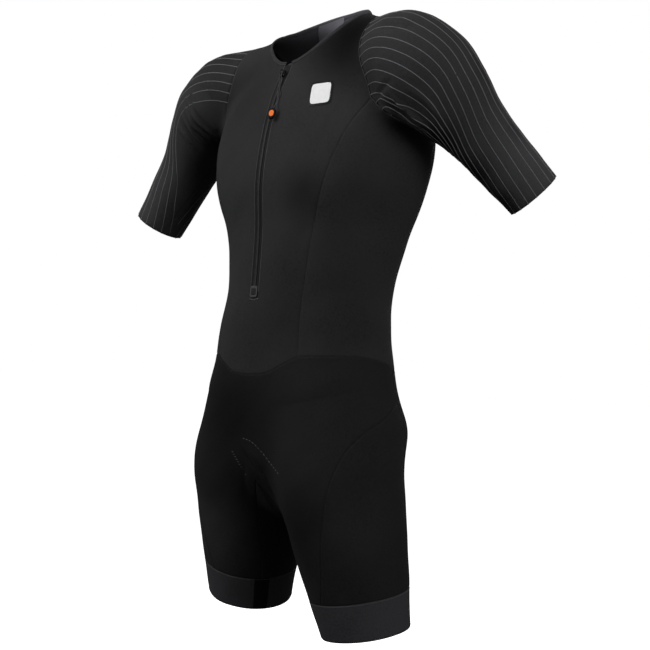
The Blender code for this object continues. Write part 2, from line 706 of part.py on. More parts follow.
def zip_guard():
    """A small flap behind the top of the zip, that shows above it."""
    x = np.linspace(-.5, .5, 3) * GUARD_WIDE
    z = ZIP_TOP + GUARD_RISE - np.linspace(0, 1, 4) * GUARD_LONG
    across, up = np.meshgrid(x, z)
    near = np.stack([across, 0 * across - .09, up], -1)
    grid = put_in_front(near)
    taper = np.array([.45, .8, 1, 1])[:, None]
    grid[..., 0] *= taper
    grid[..., 1] += CLOTH / 2 + LAID_ON + .0004
    plate("zip_guard", grid, (0, 1, 0), GUARD_THICK, "zip_tape")


def box(x, y, z):
    """A block between two values on each axis: its points and faces."""
    points = np.array([(a, b, c) for a in x for b in y for c in z], float)
    faces = [(0, 1, 3, 2), (4, 6, 7, 5), (0, 4, 5, 1), (2, 3, 7, 6), (0, 2, 6, 4), (1, 5, 7, 3)]
    return points, [list(f) for f in faces]


def sweep(path, radius, closed, sides=8):
    """A round bar along a path that doesn't run along local Z for long."""
    path = np.array(path, float)
    if closed:
        lean = np.roll(path, -1, axis=0) - np.roll(path, 1, axis=0)
    else:
        lean = np.gradient(path, axis=0)
    lean = unit(lean)
    side = unit(np.cross(lean, [0, 0, 1.0]))
    if not closed and np.ptp(path[:, 0]) == 0:
        side = np.tile([1.0, 0, 0], (len(path), 1))
    top = unit(np.cross(side, lean))
    a = np.linspace(0, 2 * pi, sides, endpoint=False)
    rings = path[:, None] + radius * (np.cos(a)[None, :, None] * side[:, None]
                                      + np.sin(a)[None, :, None] * top[:, None])
    n, faces = len(path), []
    for i in range(n if closed else n - 1):
        j = (i + 1) % n
        faces += [[i * sides + k, i * sides + (k + 1) % sides,
                   j * sides + (k + 1) % sides, j * sides + k] for k in range(sides)]
    if not closed:
        faces += [list(range(sides))[::-1], [(n - 1) * sides + k for k in range(sides)]]
    return rings.reshape(-1, 3), faces


class Zip:
    """The zip's middle line: places along it, across it and out from the cloth."""

    def __init__(self, line):
        self.middle = line["zip_edge"] * np.array([0, 1, 1])
        self.out = outward(self.middle)
        self.way = along(self.middle) - SLIDER_DOWN

    def at(self, down, out):
        lifted = self.middle + out * self.out
        return np.array([np.interp(down, self.way, lifted[:, k]) for k in range(3)])

    def place(self, points):
        """Local points (across, down from the slider along the zip, out) in the world."""
        p = np.asarray(points, float)
        return np.array([self.at(d, o) + [x, 0, 0] for x, d, o in p])

    def stiff(self, points, down, turn=0.0):
        """The same for a piece that keeps its shape, centred at that place along the zip."""
        p = np.asarray(points, float)
        lean = unit(self.at(down + .006, 0) - self.at(down - .006, 0))
        up = unit(np.cross([1, 0, 0], lean))
        up = up if up[1] < 0 else -up
        x = p[:, 0] * cos(turn) - p[:, 1] * sin(turn)
        y = p[:, 0] * sin(turn) + p[:, 1] * cos(turn)
        return (self.at(down, 0) + x[:, None] * np.array([1, 0, 0]) + y[:, None] * lean
                + p[:, 2:] * up)


def lump(track, name, shapes, look):
    """One object from shapes that overlap clearly, joined by an exact Boolean."""
    made = None
    for points, faces in shapes:
        one = add_object(f"{name}_{'more' if made else 'x'}", track.place(points), faces, look)
        if made is None:
            made = one
            continue
        join = made.modifiers.new("join", "BOOLEAN")
        join.operation, join.solver, join.object = "UNION", "EXACT", one
        mesh = bpy.data.meshes.new_from_object(
            made.evaluated_get(bpy.context.evaluated_depsgraph_get()))
        made.modifiers.clear()
        made.data = mesh
        bpy.data.objects.remove(one)
    made.name = name
    return made


def hardware(line):
    """The slider with its bridge, and the pull: a corded loop, a moulded grip and its dot."""
    track = Zip(line)
    floor = .0005 + SEAM_GAP + CHAIN_THICK + SEAM_GAP
    roof = floor + SLIDER_THICK
    half = SLIDER_WIDE / 2
    body = box((-half, half), (-SLIDER_LONG / 2, SLIDER_LONG / 2), (floor, roof))
    rise = roof + BRIDGE_RISE
    arch = [(0, -.0042, roof - .001), (0, -.0036, rise - .0012), (0, -.0022, rise - .0002),
            (0, .0006, rise), (0, .0030, rise - .0006), (0, .0040, rise - .002),
            (0, .0043, roof - .001)]
    lump(track, "slider", [body, sweep(arch, BRIDGE_WIRE / 2, False)], "slider_black")
    pull(track, floor, roof, rise)


def pull(track, floor, roof, rise):
    """The loop passes under the bridge and lies down along the zip."""
    wire, apart = CORD_WIRE / 2, CORD_APART / 2
    eye, lie, far = (roof + rise - BRIDGE_WIRE) / 2 + .0001, floor + wire + .0002, CORD_LOOP
    rows = [(-.0004, eye), (.0055, eye), (.0090, lie + .0012), (.0130, lie + .0002)]
    rows += [(d, lie) for d in np.linspace(.017, far - .003, 6)]
    left = [(bow(d) - apart, d, o) for d, o in rows]
    right = [(bow(d) + apart, d, o) for d, o in rows[::-1]]
    toe = bow(far)
    path = left + [(toe - apart * .6, far - .001, lie), (toe, far, lie),
                   (toe + apart * .6, far - .001, lie)] + right
    loop = sweep(path, wire, True)
    end = far + CORD_TAIL
    turn = radians(GRIP_TURN)
    middle = floor + .0004 + GRIP_THICK / 2 * cos(turn) + GRIP_WIDE / 2 * sin(turn)
    tail = [(bow(d), d, o) for d, o in zip(np.linspace(far - .0010, end, 7),
                                           (lie, lie, lie, lie, *np.linspace(lie, middle, 4)[1:]))]
    lump(track, "pull_cord", [loop, sweep(tail, wire * 1.2, False)], "moulded_black")
    centre = end + SEAM_GAP + GRIP_LONG / 2
    points, faces = pebble(GRIP_WIDE, GRIP_LONG, GRIP_THICK)
    shift = np.array([bow(end), 0, middle])
    add_object("pull_grip", track.stiff(turned(points, turn) + shift, centre), faces,
               "moulded_black")
    points, faces = disc(DOT_ACROSS / 2, DOT_THICK)
    points = turned(points + [0, 0, GRIP_THICK / 2 + .0003], turn) + shift
    add_object("pull_dot", track.stiff(points, centre), faces, "orange_rubber")


def turned(points, turn):
    """Points turned about their own length, so that what faces out faces the wearer's left."""
    x, y, z = points.T
    return np.stack([x * cos(turn) + z * sin(turn), y, z * cos(turn) - x * sin(turn)], 1)


def bow(down):
    """How far to the wearer's left the loop lies, this far down from the slider."""
    return float(np.interp(down, (.006, .020, CORD_LOOP, CORD_LOOP + CORD_TAIL),
                           (0, .0030, PULL_ACROSS * .8, PULL_ACROSS)))


def pebble(wide, long, thick, sides=16):
    """A flattened rounded block with a flat top and bottom."""
    a = np.linspace(0, 2 * pi, sides, endpoint=False)
    outline = np.stack([np.sign(np.cos(a)) * np.abs(np.cos(a)) ** .8 * wide / 2,
                        np.sign(np.sin(a)) * np.abs(np.sin(a)) ** .8 * long / 2], 1)
    levels = [(-.5, .80), (-.32, .95), (0, 1), (.32, .95), (.5, .80)]
    points = np.array([(x * s, y * s, h * thick) for h, s in levels for x, y in outline])
    faces = [list(range(sides))[::-1], [(len(levels) - 1) * sides + k for k in range(sides)]]
    for i in range(len(levels) - 1):
        faces += [[i * sides + k, i * sides + (k + 1) % sides,
                   (i + 1) * sides + (k + 1) % sides, (i + 1) * sides + k]
                  for k in range(sides)]
    return points, faces


def disc(radius, thick, sides=16):
    a = np.linspace(0, 2 * pi, sides, endpoint=False)
    ring = np.stack([radius * np.cos(a), radius * np.sin(a), 0 * a], 1)
    points = np.concatenate([ring, ring + [0, 0, thick]])
    faces = [list(range(sides))[::-1], list(range(sides, 2 * sides))]
    faces += [[i, (i + 1) % sides, sides + (i + 1) % sides, sides + i] for i in range(sides)]
    return points, faces


def main():
    line = make_seams()
    body_panels(line)
    sleeves(line)
    shorts(line)
    grippers(line)
    zip_parts(line)
    binding(line)
    zip_guard()
    zip_stop()
    badge()
    label()
    hardware(line)


for old in list(bpy.data.objects):
    bpy.data.objects.remove(old)
PARTS = bpy.data.collections.new("triathlon_suit")
bpy.context.scene.collection.children.link(PARTS)
main()
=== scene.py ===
import json
from math import cos, pi, radians, sin

import bmesh
import bpy
import numpy as np
from mathutils import Matrix, Vector
from mathutils.kdtree import KDTree

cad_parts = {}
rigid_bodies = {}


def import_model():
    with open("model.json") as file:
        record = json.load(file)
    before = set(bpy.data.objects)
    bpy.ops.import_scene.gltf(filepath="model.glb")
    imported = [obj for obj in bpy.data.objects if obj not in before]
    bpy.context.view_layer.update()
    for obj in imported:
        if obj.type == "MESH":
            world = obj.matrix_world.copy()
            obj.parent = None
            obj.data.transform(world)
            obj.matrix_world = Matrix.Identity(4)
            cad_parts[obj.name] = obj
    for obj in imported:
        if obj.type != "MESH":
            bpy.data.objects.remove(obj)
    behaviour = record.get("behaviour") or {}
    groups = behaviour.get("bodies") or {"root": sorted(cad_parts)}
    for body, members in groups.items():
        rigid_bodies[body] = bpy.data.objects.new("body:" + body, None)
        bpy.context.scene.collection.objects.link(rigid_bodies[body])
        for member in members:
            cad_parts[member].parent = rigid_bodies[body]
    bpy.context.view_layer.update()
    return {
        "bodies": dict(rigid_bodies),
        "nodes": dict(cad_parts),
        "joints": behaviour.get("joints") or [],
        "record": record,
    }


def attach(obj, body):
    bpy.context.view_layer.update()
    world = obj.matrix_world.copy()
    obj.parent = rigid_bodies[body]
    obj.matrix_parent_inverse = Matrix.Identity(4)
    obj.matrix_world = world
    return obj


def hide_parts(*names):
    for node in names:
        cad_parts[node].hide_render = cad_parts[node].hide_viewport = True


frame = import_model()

# ---- lengths in metres
FINE = 10     # fine facets in each of the frame's facets
CLOTH = .0015
FACE = CLOTH / 2                   # from the cloth's middle out to its face
SEAM_GAP, SEWN_GAP = .0003, .0001  # between hard parts, and at a seam
SEAM_DIP, SEAM_ROUND = .0007, .0028     # how deep and how wide the cloth dips into a seam
ZIP_HALF, ZIP_TOP, ZIP_END, SLOT_FOOT = .008, -.068, -.412, .0012
SLIDER_DOWN, CHAIN_THICK = .0175, .0018
SLIDER_WIDE, SLIDER_LONG, SLIDER_THICK = .0085, .0115, .0030
BRIDGE_RISE, BRIDGE_WIRE = .0042, .0013
CORD_WIRE, CORD_APART, CORD_LOOP, CORD_TAIL, PULL_ACROSS = .0012, .0036, .044, .020, .0130
GRIP_WIDE, GRIP_LONG, GRIP_THICK, GRIP_TURN = .0120, .0180, .0040, 25.0
DOT_ACROSS, DOT_THICK = .0078, .0006
STOP_WIDE, STOP_LONG, STOP_ABOVE, STOP_LIFT = .0165, .0170, .009, .0012
GUARD_WIDE, GUARD_LONG, GUARD_RISE, GUARD_THICK = .020, .030, .012, .001
BADGE_AT, BADGE_WIDE, BADGE_TALL, BADGE_LIFT = (.099, -.120), .042, .034, .0004
LABEL_WIDE, LABEL_TALL, LABEL_THICK, LABEL_Z, LABEL_LEAN = .046, .036, .0005, .014, .22
LABEL_RAISED = .009                # onto the binding that its top is sewn to
LAID_ON, FILM, LINED = .0005, .0003, .0004       # on the cloth, a film, and behind the cloth
TAPE_THICK, CORE_HALF, CORE_THICK, CORE_LIFT = .0010, .0024, .0008, .00125
TOOTH_ASIDE, TOOTH_LIFT, TOOTH_TURN = .00125, .0019, .45
TOOTH = {"Pitch": .0015, "Length": .0011, "Width": .0024, "Height": .0010}
BINDING_WIDE, BINDING_THICK, BINDING_DIP = .0065, .0022, .0009
GRIP_TOP, HEM = .180, .235
STRIP_AT, STRIP_WIDE = -64.0, 19.0
SEAM_FRONT, SEAM_BACK = -1.0, 113.0
CUFF = .278
ARM_SWUNG = {1: (.386, .604, -.697), -1: (-.512, -.120, -.850)}     # left arm back, right forward
SWING_SHORT, SWING_REACH = {1: .071, -1: .103}, .80
RIB_PITCH, RIB_START, RIB_RADIUS, RIB_SUNK = .0152, .35, .00075, .00035
RIB_BEND, RIB_SHORTEST = .105, {1: 0, -1: .85}    # where the ribs lie straight, least length
SLEEVE_DIP, SLEEVE_ROUND = .0013, .0048
WAVE_HIGH = .00045                 # soft waves all over the cloth
WELT_IN, TOPSTITCH_IN, HOLE_EDGE_IN, SEAM_STITCH_IN = .0013, .0034, .0012, .0022
GRIP_EDGE_IN, HEM_STITCH_IN = .0016, .0030
STITCH = {"Pitch": .0030, "Length": .0023, "Width": .0006, "Height": .0004, "Turn": 0.0}
BEADS, RIDGES = "beads_along_lines", "ridges_along_lines"


def table(columns, *rows):
    """Rows of numbers as one array for each named column."""
    return {name: np.array([row[i] for row in rows], float)
            for i, name in enumerate(columns.split())}


TORSO = table(
    "z     wide   deep   back  square",
    (-.75, .050, .050, .012, 2.0), (-.69, .141, .096, .012, 2.1), (-.62, .172, .114, .014, 2.3),
    (-.54, .158, .110, .000, 2.3), (-.46, .146, .106, -.005, 2.3), (-.40, .134, .110, .002, 2.3),
    (-.32, .148, .116, .009, 2.4), (-.24, .184, .121, .009, 2.5), (-.17, .197, .116, .012, 2.5),
    (-.11, .181, .102, .013, 2.4), (-.06, .132, .079, .011, 2.2), (-.02, .100, .062, .002, 2.0),
    (.03, .078, .054, .002, 2.0), (.08, .070, .052, .002, 2.0))
ARM = table(
    "along radius",
    (-.02, .048), (.03, .068), (.08, .0635), (.14, .0495), (.20, .045), (.27, .0415), (.36, .037))
LEG = table(
    "along radius",
    (-.10, .0705), (.00, .094), (.08, .088), (.16, .0775), (.24, .0655), (.32, .060))
NECK, NECK_RADIUS = np.array([.044, .030, -.033]), .055
SHOULDER, SHOULDER_RADIUS = np.array([.218, -.015, -.074]), .062
HIP = np.array([.096, -.010, -.660])
ARM_OUT, ARM_BACK, LEG_OUT, LEG_BACK = 45.4, 6.5, 9.5, 10.0
BLEND_YOKE, BLEND_ARM, BLEND_LEG, BLEND_SEAT = .040, .043, .030, .060
LEG_FROM, LEG_SLANT, LEG_DROP, SHOULDER_SLANT = -.60, -.068, -.0035, .030

# Seams of the left half: points across, back and up, and the frame's facets along each.
SEAMS = {
    "neck_front": (5, (.0080, -.067, -.0605), (.0225, -.066, -.057), (.0435, -.060, -.046),
        (.0645, -.050, -.029), (.0795, -.041, -.015), (.0935, -.024, .002),
        (.0968, -.001, .0142)),
    "neck_back": (6, (.0968, -.001, .0142), (.0885, .0165, .0205), (.0745, .0295, .0265),
        (.059, .0395, .0325), (.039, .0485, .0385), (.0195, .0535, .0415), (0, .055, .042)),
    "shoulder": (1, (.0968, -.001, .0142), (.117, -.003, .004), (.138, -.005, -.002)),
    "arm_front": (5, (.138, -.005, -.002), (.143, -.030, -.018), (.146, -.046, -.042),
        (.150, -.056, -.067), (.160, -.060, -.099), (.171, -.057, -.128)),
    "arm_under": (6, (.171, -.057, -.128), (.190, -.048, -.151), (.209, -.033, -.168),
        (.217, -.004, -.176), (.209, .032, -.170), (.190, .062, -.150)),
    "arm_back": (5, (.190, .062, -.150), (.166, .080, -.112), (.150, .072, -.067),
        (.141, .042, -.026), (.138, -.005, -.002)),
    "princess": (13, (.171, -.057, -.128), (.151, -.074, -.168), (.140, -.084, -.197),
        (.125, -.090, -.235), (.106, -.090, -.295), (.091, -.087, -.360), (.088, -.092, -.430),
        (.091, -.095, -.506)),
    "back_side": (13, (.190, .062, -.150), (.178, .075, -.200), (.150, .085, -.280),
        (.122, .078, -.370), (.128, .062, -.450), (.142, .044, -.512)),
    "waist_front": (6, (0, -.109, -.535), (.040, -.108, -.531), (.066, -.103, -.519),
        (.091, -.095, -.506)),
    "waist_side": (6, (.091, -.095, -.506), (.125, -.072, -.504), (.149, -.022, -.502),
        (.149, .012, -.506), (.142, .044, -.512)),
    "waist_back": (7, (.142, .044, -.512), (.110, .085, -.522), (.060, .102, -.528),
        (0, .105, -.530)),
    "side_upper": (2, (.142, .044, -.512), (.150, .048, -.536), (.158, .050, -.562)),
    "hip": (6, (.158, .050, -.562), (.174, .003, -.590), (.176, -.033, -.608),
        (.169, -.062, -.634), (.161, -.078, -.666), (.152, -.083, -.700)),
    "leg_front": (8, (.152, -.083, -.700), (.144, -.078, -.738), (.139, -.074, -.764),
        (.134, -.064, -.806)),
    "seat_side": (4, (.158, .050, -.562), (.170, .058, -.615), (.182, .055, -.670),
        (.187, .048, -.725)),
    "leg_back": (4, (.187, .048, -.725), (.189, .047, -.765), (.190, .047, -.793)),
    "crotch_front": (8, (0, -.109, -.535), (0, -.106, -.580), (0, -.098, -.635),
        (0, -.082, -.690)),
    "crotch_back": (6, (0, .105, -.530), (0, .122, -.590), (0, .115, -.650), (0, .090, -.705),
        (0, .050, -.745), (0, .010, -.755)),
    "crotch_under": (3, (0, .010, -.755), (0, -.045, -.735), (0, -.082, -.690)),
    "under_seat": (7, (.187, .048, -.725), (.155, .088, -.735), (.110, .100, -.742),
        (.065, .085, -.750), (.030, .050, -.755), (0, .010, -.755)),
    "inseam": (4, (0, -.082, -.690), (.020, -.062, -.715), (.032, -.050, -.740),
        (.041, -.040, -.771), (.047, -.026, -.803)),
}
MIDDLE_BACK = ((0, .075, -.005), (0, .098, -.060), (0, .120, -.150), (0, .128, -.260),
               (0, .110, -.400))
ZIP_ROWS, BELLY_ROWS, SLEEVE_ROWS, GRIPPER_ROWS = 13, 5, 12, 2

# Folds in the cloth: height (negative for a crease), half width, and points along each.
FOLDS = (
    (.0034, .0260, (.136, -.014, .004), (.160, -.020, .000), (.186, -.024, -.006)),
    (.0062, .0034, (.188, -.047, -.146), (.225, -.052, -.154), (.258, -.056, -.168)),
    (-.0036, .0030, (.190, -.043, -.156), (.225, -.043, -.168), (.257, -.047, -.178)),
    (.0064, .0034, (.222, -.073, -.130), (.243, -.067, -.146), (.268, -.056, -.166)),
    (.0030, .0044, (.249, -.080, -.114), (.268, -.076, -.126), (.286, -.066, -.148)),
    (-.0040, .0048, (.186, -.056, -.128), (.204, -.070, -.120), (.222, -.079, -.110)),
    (.0024, .0046, (.183, -.058, -.022), (.208, -.060, -.024), (.236, -.052, -.022)),
    (-.0022, .0046, (.186, -.064, -.036), (.215, -.067, -.036), (.243, -.058, -.034)),
    (.0058, .0026, (-.232, -.083, -.078), (-.216, -.076, -.110), (-.194, -.052, -.137)),
    (.0058, .0026, (-.241, -.083, -.088), (-.221, -.074, -.126), (-.206, -.058, -.142),
        (-.197, -.045, -.149)),
    (.0056, .0026, (-.246, -.082, -.104), (-.231, -.073, -.132), (-.218, -.060, -.147),
        (-.208, -.040, -.160)),
    (.0050, .0028, (-.254, -.080, -.118), (-.238, -.068, -.144), (-.226, -.049, -.161)),
    (.0044, .0030, (-.274, -.074, -.131), (-.259, -.067, -.150), (-.250, -.052, -.170)),
    (-.0020, .0030, (-.262, -.078, -.122), (-.247, -.069, -.146), (-.237, -.052, -.165)),
    (.0022, .0036, (-.199, -.077, -.062), (-.186, -.071, -.087)),
    (-.0020, .0036, (-.209, -.079, -.062), (-.196, -.073, -.090)),
    (-.0030, .0050, (-.022, -.095, -.650), (-.004, -.092, -.666), (.014, -.087, -.681)),
    (.0016, .0070, (-.006, -.096, -.646), (.010, -.094, -.658), (.026, -.088, -.674)),
    (-.0018, .0060, (.016, -.092, -.664), (.030, -.080, -.692), (.038, -.068, -.716)),
    (-.0018, .0060, (-.018, -.090, -.668), (-.030, -.078, -.694), (-.038, -.066, -.718)),
    (.0012, .0070, (.176, -.050, -.019), (.215, -.062, -.030), (.244, -.066, -.044)),
    (-.0010, .0060, (.176, -.052, -.028), (.212, -.066, -.040), (.238, -.072, -.054)),
)


# ---- the form that the cloth follows

def arc(s, start, end, leave, join):
    """The smooth curve between two values with these slopes, at s from 0 to 1."""
    return ((1 + 2 * s) * (1 - s) ** 2 * start + s * (1 - s) ** 2 * leave
            + s * s * (3 - 2 * s) * end + s * s * (s - 1) * join)


def smooth(t, at, value):
    """A smooth curve through the table's values, at t."""
    t = np.clip(t, at[0], at[-1])
    lean = np.concatenate([[(value[1] - value[0]) / (at[1] - at[0])],
                           (value[2:] - value[:-2]) / (at[2:] - at[:-2]),
                           [(value[-1] - value[-2]) / (at[-1] - at[-2])]])
    k = np.clip(np.searchsorted(at, t) - 1, 0, len(at) - 2)
    h = at[k + 1] - at[k]
    return arc((t - at[k]) / h, value[k], value[k + 1], h * lean[k], h * lean[k + 1])


def eased(t):
    """0 to 1 with a soft start and end."""
    t = np.clip(t, 0, 1)
    return t * t * (3 - 2 * t)


def drawn(t, at, points, way=np.interp):
    """The line's points at the places t; at holds the places of the points that it has."""
    return np.stack([way(t, at, points[:, k]) for k in range(points.shape[1])], -1)


def unit(v):
    v = np.asarray(v, float)
    return v / np.maximum(np.linalg.norm(v, axis=-1, keepdims=True), 1e-12)


def blend(a, b, width):
    """The smaller of two distances, with a rounded corner."""
    h = np.maximum(width - np.abs(a - b), 0) / width
    return np.minimum(a, b) - h ** 3 * width / 6


def lean_axis(out, back):
    """A direction down, leaning out and back by these degrees."""
    out, back = radians(out), radians(back)
    return unit([sin(out), cos(out) * sin(back), -cos(out) * cos(back)])


ARM_AXIS = lean_axis(ARM_OUT, ARM_BACK)
LEG_AXIS = lean_axis(LEG_OUT, LEG_BACK)


def tube(p, start, axis, places, radius):
    """How far p is outside a round tube whose radius changes along its axis."""
    q = p - start
    t = q @ axis
    beside_axis = np.clip(t, places[0], places[-1])[..., None] * axis
    return np.linalg.norm(q - beside_axis, axis=-1) - smooth(t, places, radius)


def form(p):
    """Below zero inside the form, and about the distance from it in metres."""
    x, y, z = np.abs(p[..., 0]), p[..., 1], p[..., 2]
    own, other = np.stack([x, y, z], -1), np.stack([-x, y, z], -1)
    wide, deep, back, square = (smooth(z, TORSO["z"], TORSO[c])
                                for c in ("wide", "deep", "back", "square"))
    ring = ((x / wide) ** square + (np.abs(y - back) / deep) ** square) ** (1 / square)
    body = -blend((1 - ring) * np.minimum(wide, deep), z - TORSO["z"][0], BLEND_SEAT)
    yoke = SHOULDER - NECK
    length = np.linalg.norm(yoke)
    body = blend(body, tube(own, NECK, yoke / length, np.array([0, length]),
                            np.array([NECK_RADIUS, SHOULDER_RADIUS])), BLEND_YOKE)
    body = blend(body, tube(own, SHOULDER, ARM_AXIS, ARM["along"], ARM["radius"]), BLEND_ARM)
    legs = blend(tube(own, HIP, LEG_AXIS, LEG["along"], LEG["radius"]),
                 tube(other, HIP, LEG_AXIS, LEG["along"], LEG["radius"]), BLEND_LEG)
    return blend(body, legs, BLEND_LEG)


def slope(p, step=1e-4):
    return np.stack([form(p + step * d) - form(p - step * d) for d in np.eye(3)], -1) / (2 * step)


def settle(p, rounds=8):
    """The points moved onto the form, by the shortest way that its slope shows."""
    p = np.array(p, float)
    for _ in range(rounds):
        g = slope(p)
        step = (form(p) / np.maximum((g * g).sum(-1), .05))[..., None] * g
        length = np.linalg.norm(step, axis=-1, keepdims=True)
        p = p - step * np.minimum(1, .03 / np.maximum(length, 1e-9))
    return p


def outward(p):
    return unit(slope(p))


def posed(p):
    """The points where the suit hangs: the left leg a little lower, the left shoulder higher."""
    p = np.array(p, float)
    x, z = p[..., 0], p[..., 2]
    low = eased((LEG_FROM - z) / .25)
    high = eased(np.clip((z + .09) / .09, 0, 1) * np.clip((.16 - np.abs(x)) / .07, 0, 1))
    p[..., 2] += low * (LEG_SLANT * x + LEG_DROP) + high * SHOULDER_SLANT * x
    return p


def swung(points, share, side):
    """Points of a sleeve turned about the shoulder, by their share of the way to the cuff."""
    own, middle = ARM_AXIS * [side, 1, 1], SHOULDER * [side, 1, 1]
    turn = eased(share / SWING_REACH)[..., None]
    q = points - middle
    q = q - SWING_SHORT[side] * turn * np.maximum(q @ own, 0)[..., None] * own
    way = unit(ARM_SWUNG[side])
    pin, angle = unit(np.cross(own, way)), np.arccos(own @ way) * turn
    return middle + (q * np.cos(angle) + np.cross(pin, q) * np.sin(angle)
                     + (q @ pin)[..., None] * pin * (1 - np.cos(angle)))


def from_line(p, line):
    """How far the points are from a bent line, and how far along it they are, 0 to 1."""
    best, where = np.full(len(p), 9.0), np.zeros(len(p))
    line = np.array(line, float)
    s = along(line) / along(line)[-1]
    for a, b, sa, sb in zip(line, line[1:], s, s[1:]):
        t = np.clip((p - a) @ (b - a) / ((b - a) @ (b - a)), 0, 1)
        d = np.linalg.norm(p - a - t[:, None] * (b - a), axis=1)
        near = d < best
        best, where = np.where(near, d, best), np.where(near, sa + t * (sb - sa), where)
    return best, where


def curved(points, steps=24):
    """More points on a smooth curve through a few."""
    p = np.array(points, float)
    s = along(p)
    return p if len(p) < 3 else drawn(np.linspace(0, s[-1], steps), s, p, smooth)


def relief(p):
    """How far folds and soft waves lift the cloth off the form at the points."""
    shape = p.shape[:-1]
    p = p.reshape(-1, 3)
    x, y, z = p.T
    side = 1.05 - 1.05 * np.tanh(x / .06)
    wave = (np.sin(61 * z + 23 * x + side) * np.sin(47 * x + 31 * y + 1.3 + side)
            + .6 * np.sin(97 * x - 70 * z + 55 * y + .4) * np.sin(38 * z + 20 * y + side))
    calm = np.clip((np.abs(x) - .012) / .03, 0, 1) + np.clip((y + .02) / .04, 0, 1)
    calm = np.clip(calm + np.clip((-.47 - z) / .05, 0, 1), 0, 1) * (z < -.09)
    lift = WAVE_HIGH * wave * calm
    for height, width, *points in FOLDS:
        line = curved(points)
        reach = np.abs(p - line.mean(0)).max(axis=1) < np.ptp(line, axis=0).max() / 2 + 4 * width
        d, t = from_line(p[reach], line)
        lift[reach] += height * np.exp(-(d / width) ** 2) * np.sin(pi * (.08 + .84 * t)) ** .8
    return lift.reshape(shape)


def lifted(p, amount):
    """The points raised off the folded cloth's middle by the amount, and which way is out."""
    normal = outward(p)
    return p + (amount + relief(p))[..., None] * normal, normal


# ---- seams

def along(line):
    return np.concatenate([[0], np.cumsum(np.linalg.norm(np.diff(line, axis=0), axis=1))])


def even(line, steps):
    """The line again, with points an equal way apart."""
    s = along(line)
    return drawn(np.linspace(0, s[-1], steps + 1), s, line)


def seam(points, steps):
    """A smooth line on the form through the points."""
    p = settle(points)
    s = along(p)
    t = np.concatenate([np.linspace(a, b, 12, endpoint=False) for a, b in zip(s, s[1:])]
                       + [[s[-1]]])
    return settle(even(settle(drawn(t, s, p, smooth)), steps), 4)


def frontward(way):
    """The direction, or its opposite where that points to the front."""
    return way if way[1] < 0 else -way


def leg_ring(where, degrees):
    """Points round the leg at a place along it: front 0, outer side 90."""
    a = np.radians(degrees)[..., None]
    out = unit(np.array([1, 0, 0]) - LEG_AXIS[0] * LEG_AXIS)
    front = frontward(np.cross(LEG_AXIS, out))
    radius = smooth(np.array([where]), LEG["along"], LEG["radius"])
    return HIP + where * LEG_AXIS + radius * (np.sin(a) * out + np.cos(a) * front)


def make_seams():
    steps = {name: row[0] for name, row in SEAMS.items()}
    turns = {"grip_inner": (STRIP_AT, SEAM_FRONT, steps["waist_front"] + steps["waist_side"]),
             "grip_outer": (SEAM_FRONT, SEAM_BACK, steps["hip"]),
             "grip_back": (SEAM_BACK, STRIP_AT + 360, steps["under_seat"] + steps["crotch_under"])}
    lines = {name: leg_ring(GRIP_TOP, np.linspace(a, b, n * FINE + 1))
             for name, (a, b, n) in turns.items()}
    ends = {"leg_front": lines["grip_outer"][0], "leg_back": lines["grip_outer"][-1],
            "inseam": lines["grip_inner"][0]}
    for name, (count, *points) in SEAMS.items():
        points = points + ([ends[name]] if name in ends else [])
        lines[name] = seam(points, count * FINE)
        if name in ends:
            lines[name][-1] = ends[name]
    z = np.linspace(ZIP_TOP, ZIP_END, ZIP_ROWS * FINE + 1)
    edge = in_front(np.full_like(z, ZIP_HALF), z)
    edge[:, 2] += (lines["neck_front"][0, 2] - ZIP_TOP) * np.linspace(1, 0, len(z)) ** 8
    edge = put_in_front(edge)
    edge[0] = lines["neck_front"][0]
    z = np.linspace(ZIP_END - SLOT_FOOT, lines["waist_front"][0][2], (BELLY_ROWS - 1) * FINE + 1)
    belly = in_front(0 * z, z)
    belly[-1] = lines["waist_front"][0]
    # Just under the zip's end the slit closes within a few facets.
    foot = np.linspace(0, 1, FINE + 1)[1:-1, None] ** .5
    foot = put_in_front(edge[-1] * (1 - foot) + belly[0] * foot)
    lines["zip_edge"], lines["belly"] = edge, np.concatenate([foot, belly])
    lines["middle_back"] = seam([lines["neck_back"][-1], *MIDDLE_BACK, lines["waist_back"][-1]],
                                (steps["arm_back"] + steps["back_side"]) * FINE)
    return lines


def put_in_front(points, way=(0, 1, 0)):
    """The points moved along the way, forwards or back, onto the near side of the form."""
    p, way = np.array(points, float), unit(way)
    for _ in range(12):
        g = slope(p) @ way
        p -= (form(p) / np.where(np.abs(g) < .2, -.2, g))[..., None] * way
    return p


def in_front(across, up, start=-.1, way=(0, 1, 0)):
    """Places on the front of the form, from how far they are across and up."""
    return put_in_front(np.stack([across, np.full_like(up, start), up], -1), way)


def joined(*lines):
    return np.concatenate([lines[0]] + [line[1:] for line in lines[1:]])


# ---- panels

def patch(top, bottom, left, right):
    """A grid that fills four lines."""
    u = np.linspace(0, 1, len(top))[None, :, None]
    v = np.linspace(0, 1, len(left))[:, None, None]
    grid = (1 - v) * top[None] + v * bottom[None] + (1 - u) * left[:, None] + u * right[:, None]
    return grid - ((1 - u) * (1 - v) * top[0] + u * (1 - v) * top[-1]
                   + (1 - u) * v * bottom[0] + u * v * bottom[-1])


def finer(grid, rows, columns):
    """The grid's values at more places, by straight steps."""
    for count in (columns, rows):
        last = grid.shape[1] - 1
        t = np.linspace(0, last, count)
        grid = np.stack([drawn(t, np.arange(last + 1), row) for row in grid]).transpose(1, 0, 2)
    return grid


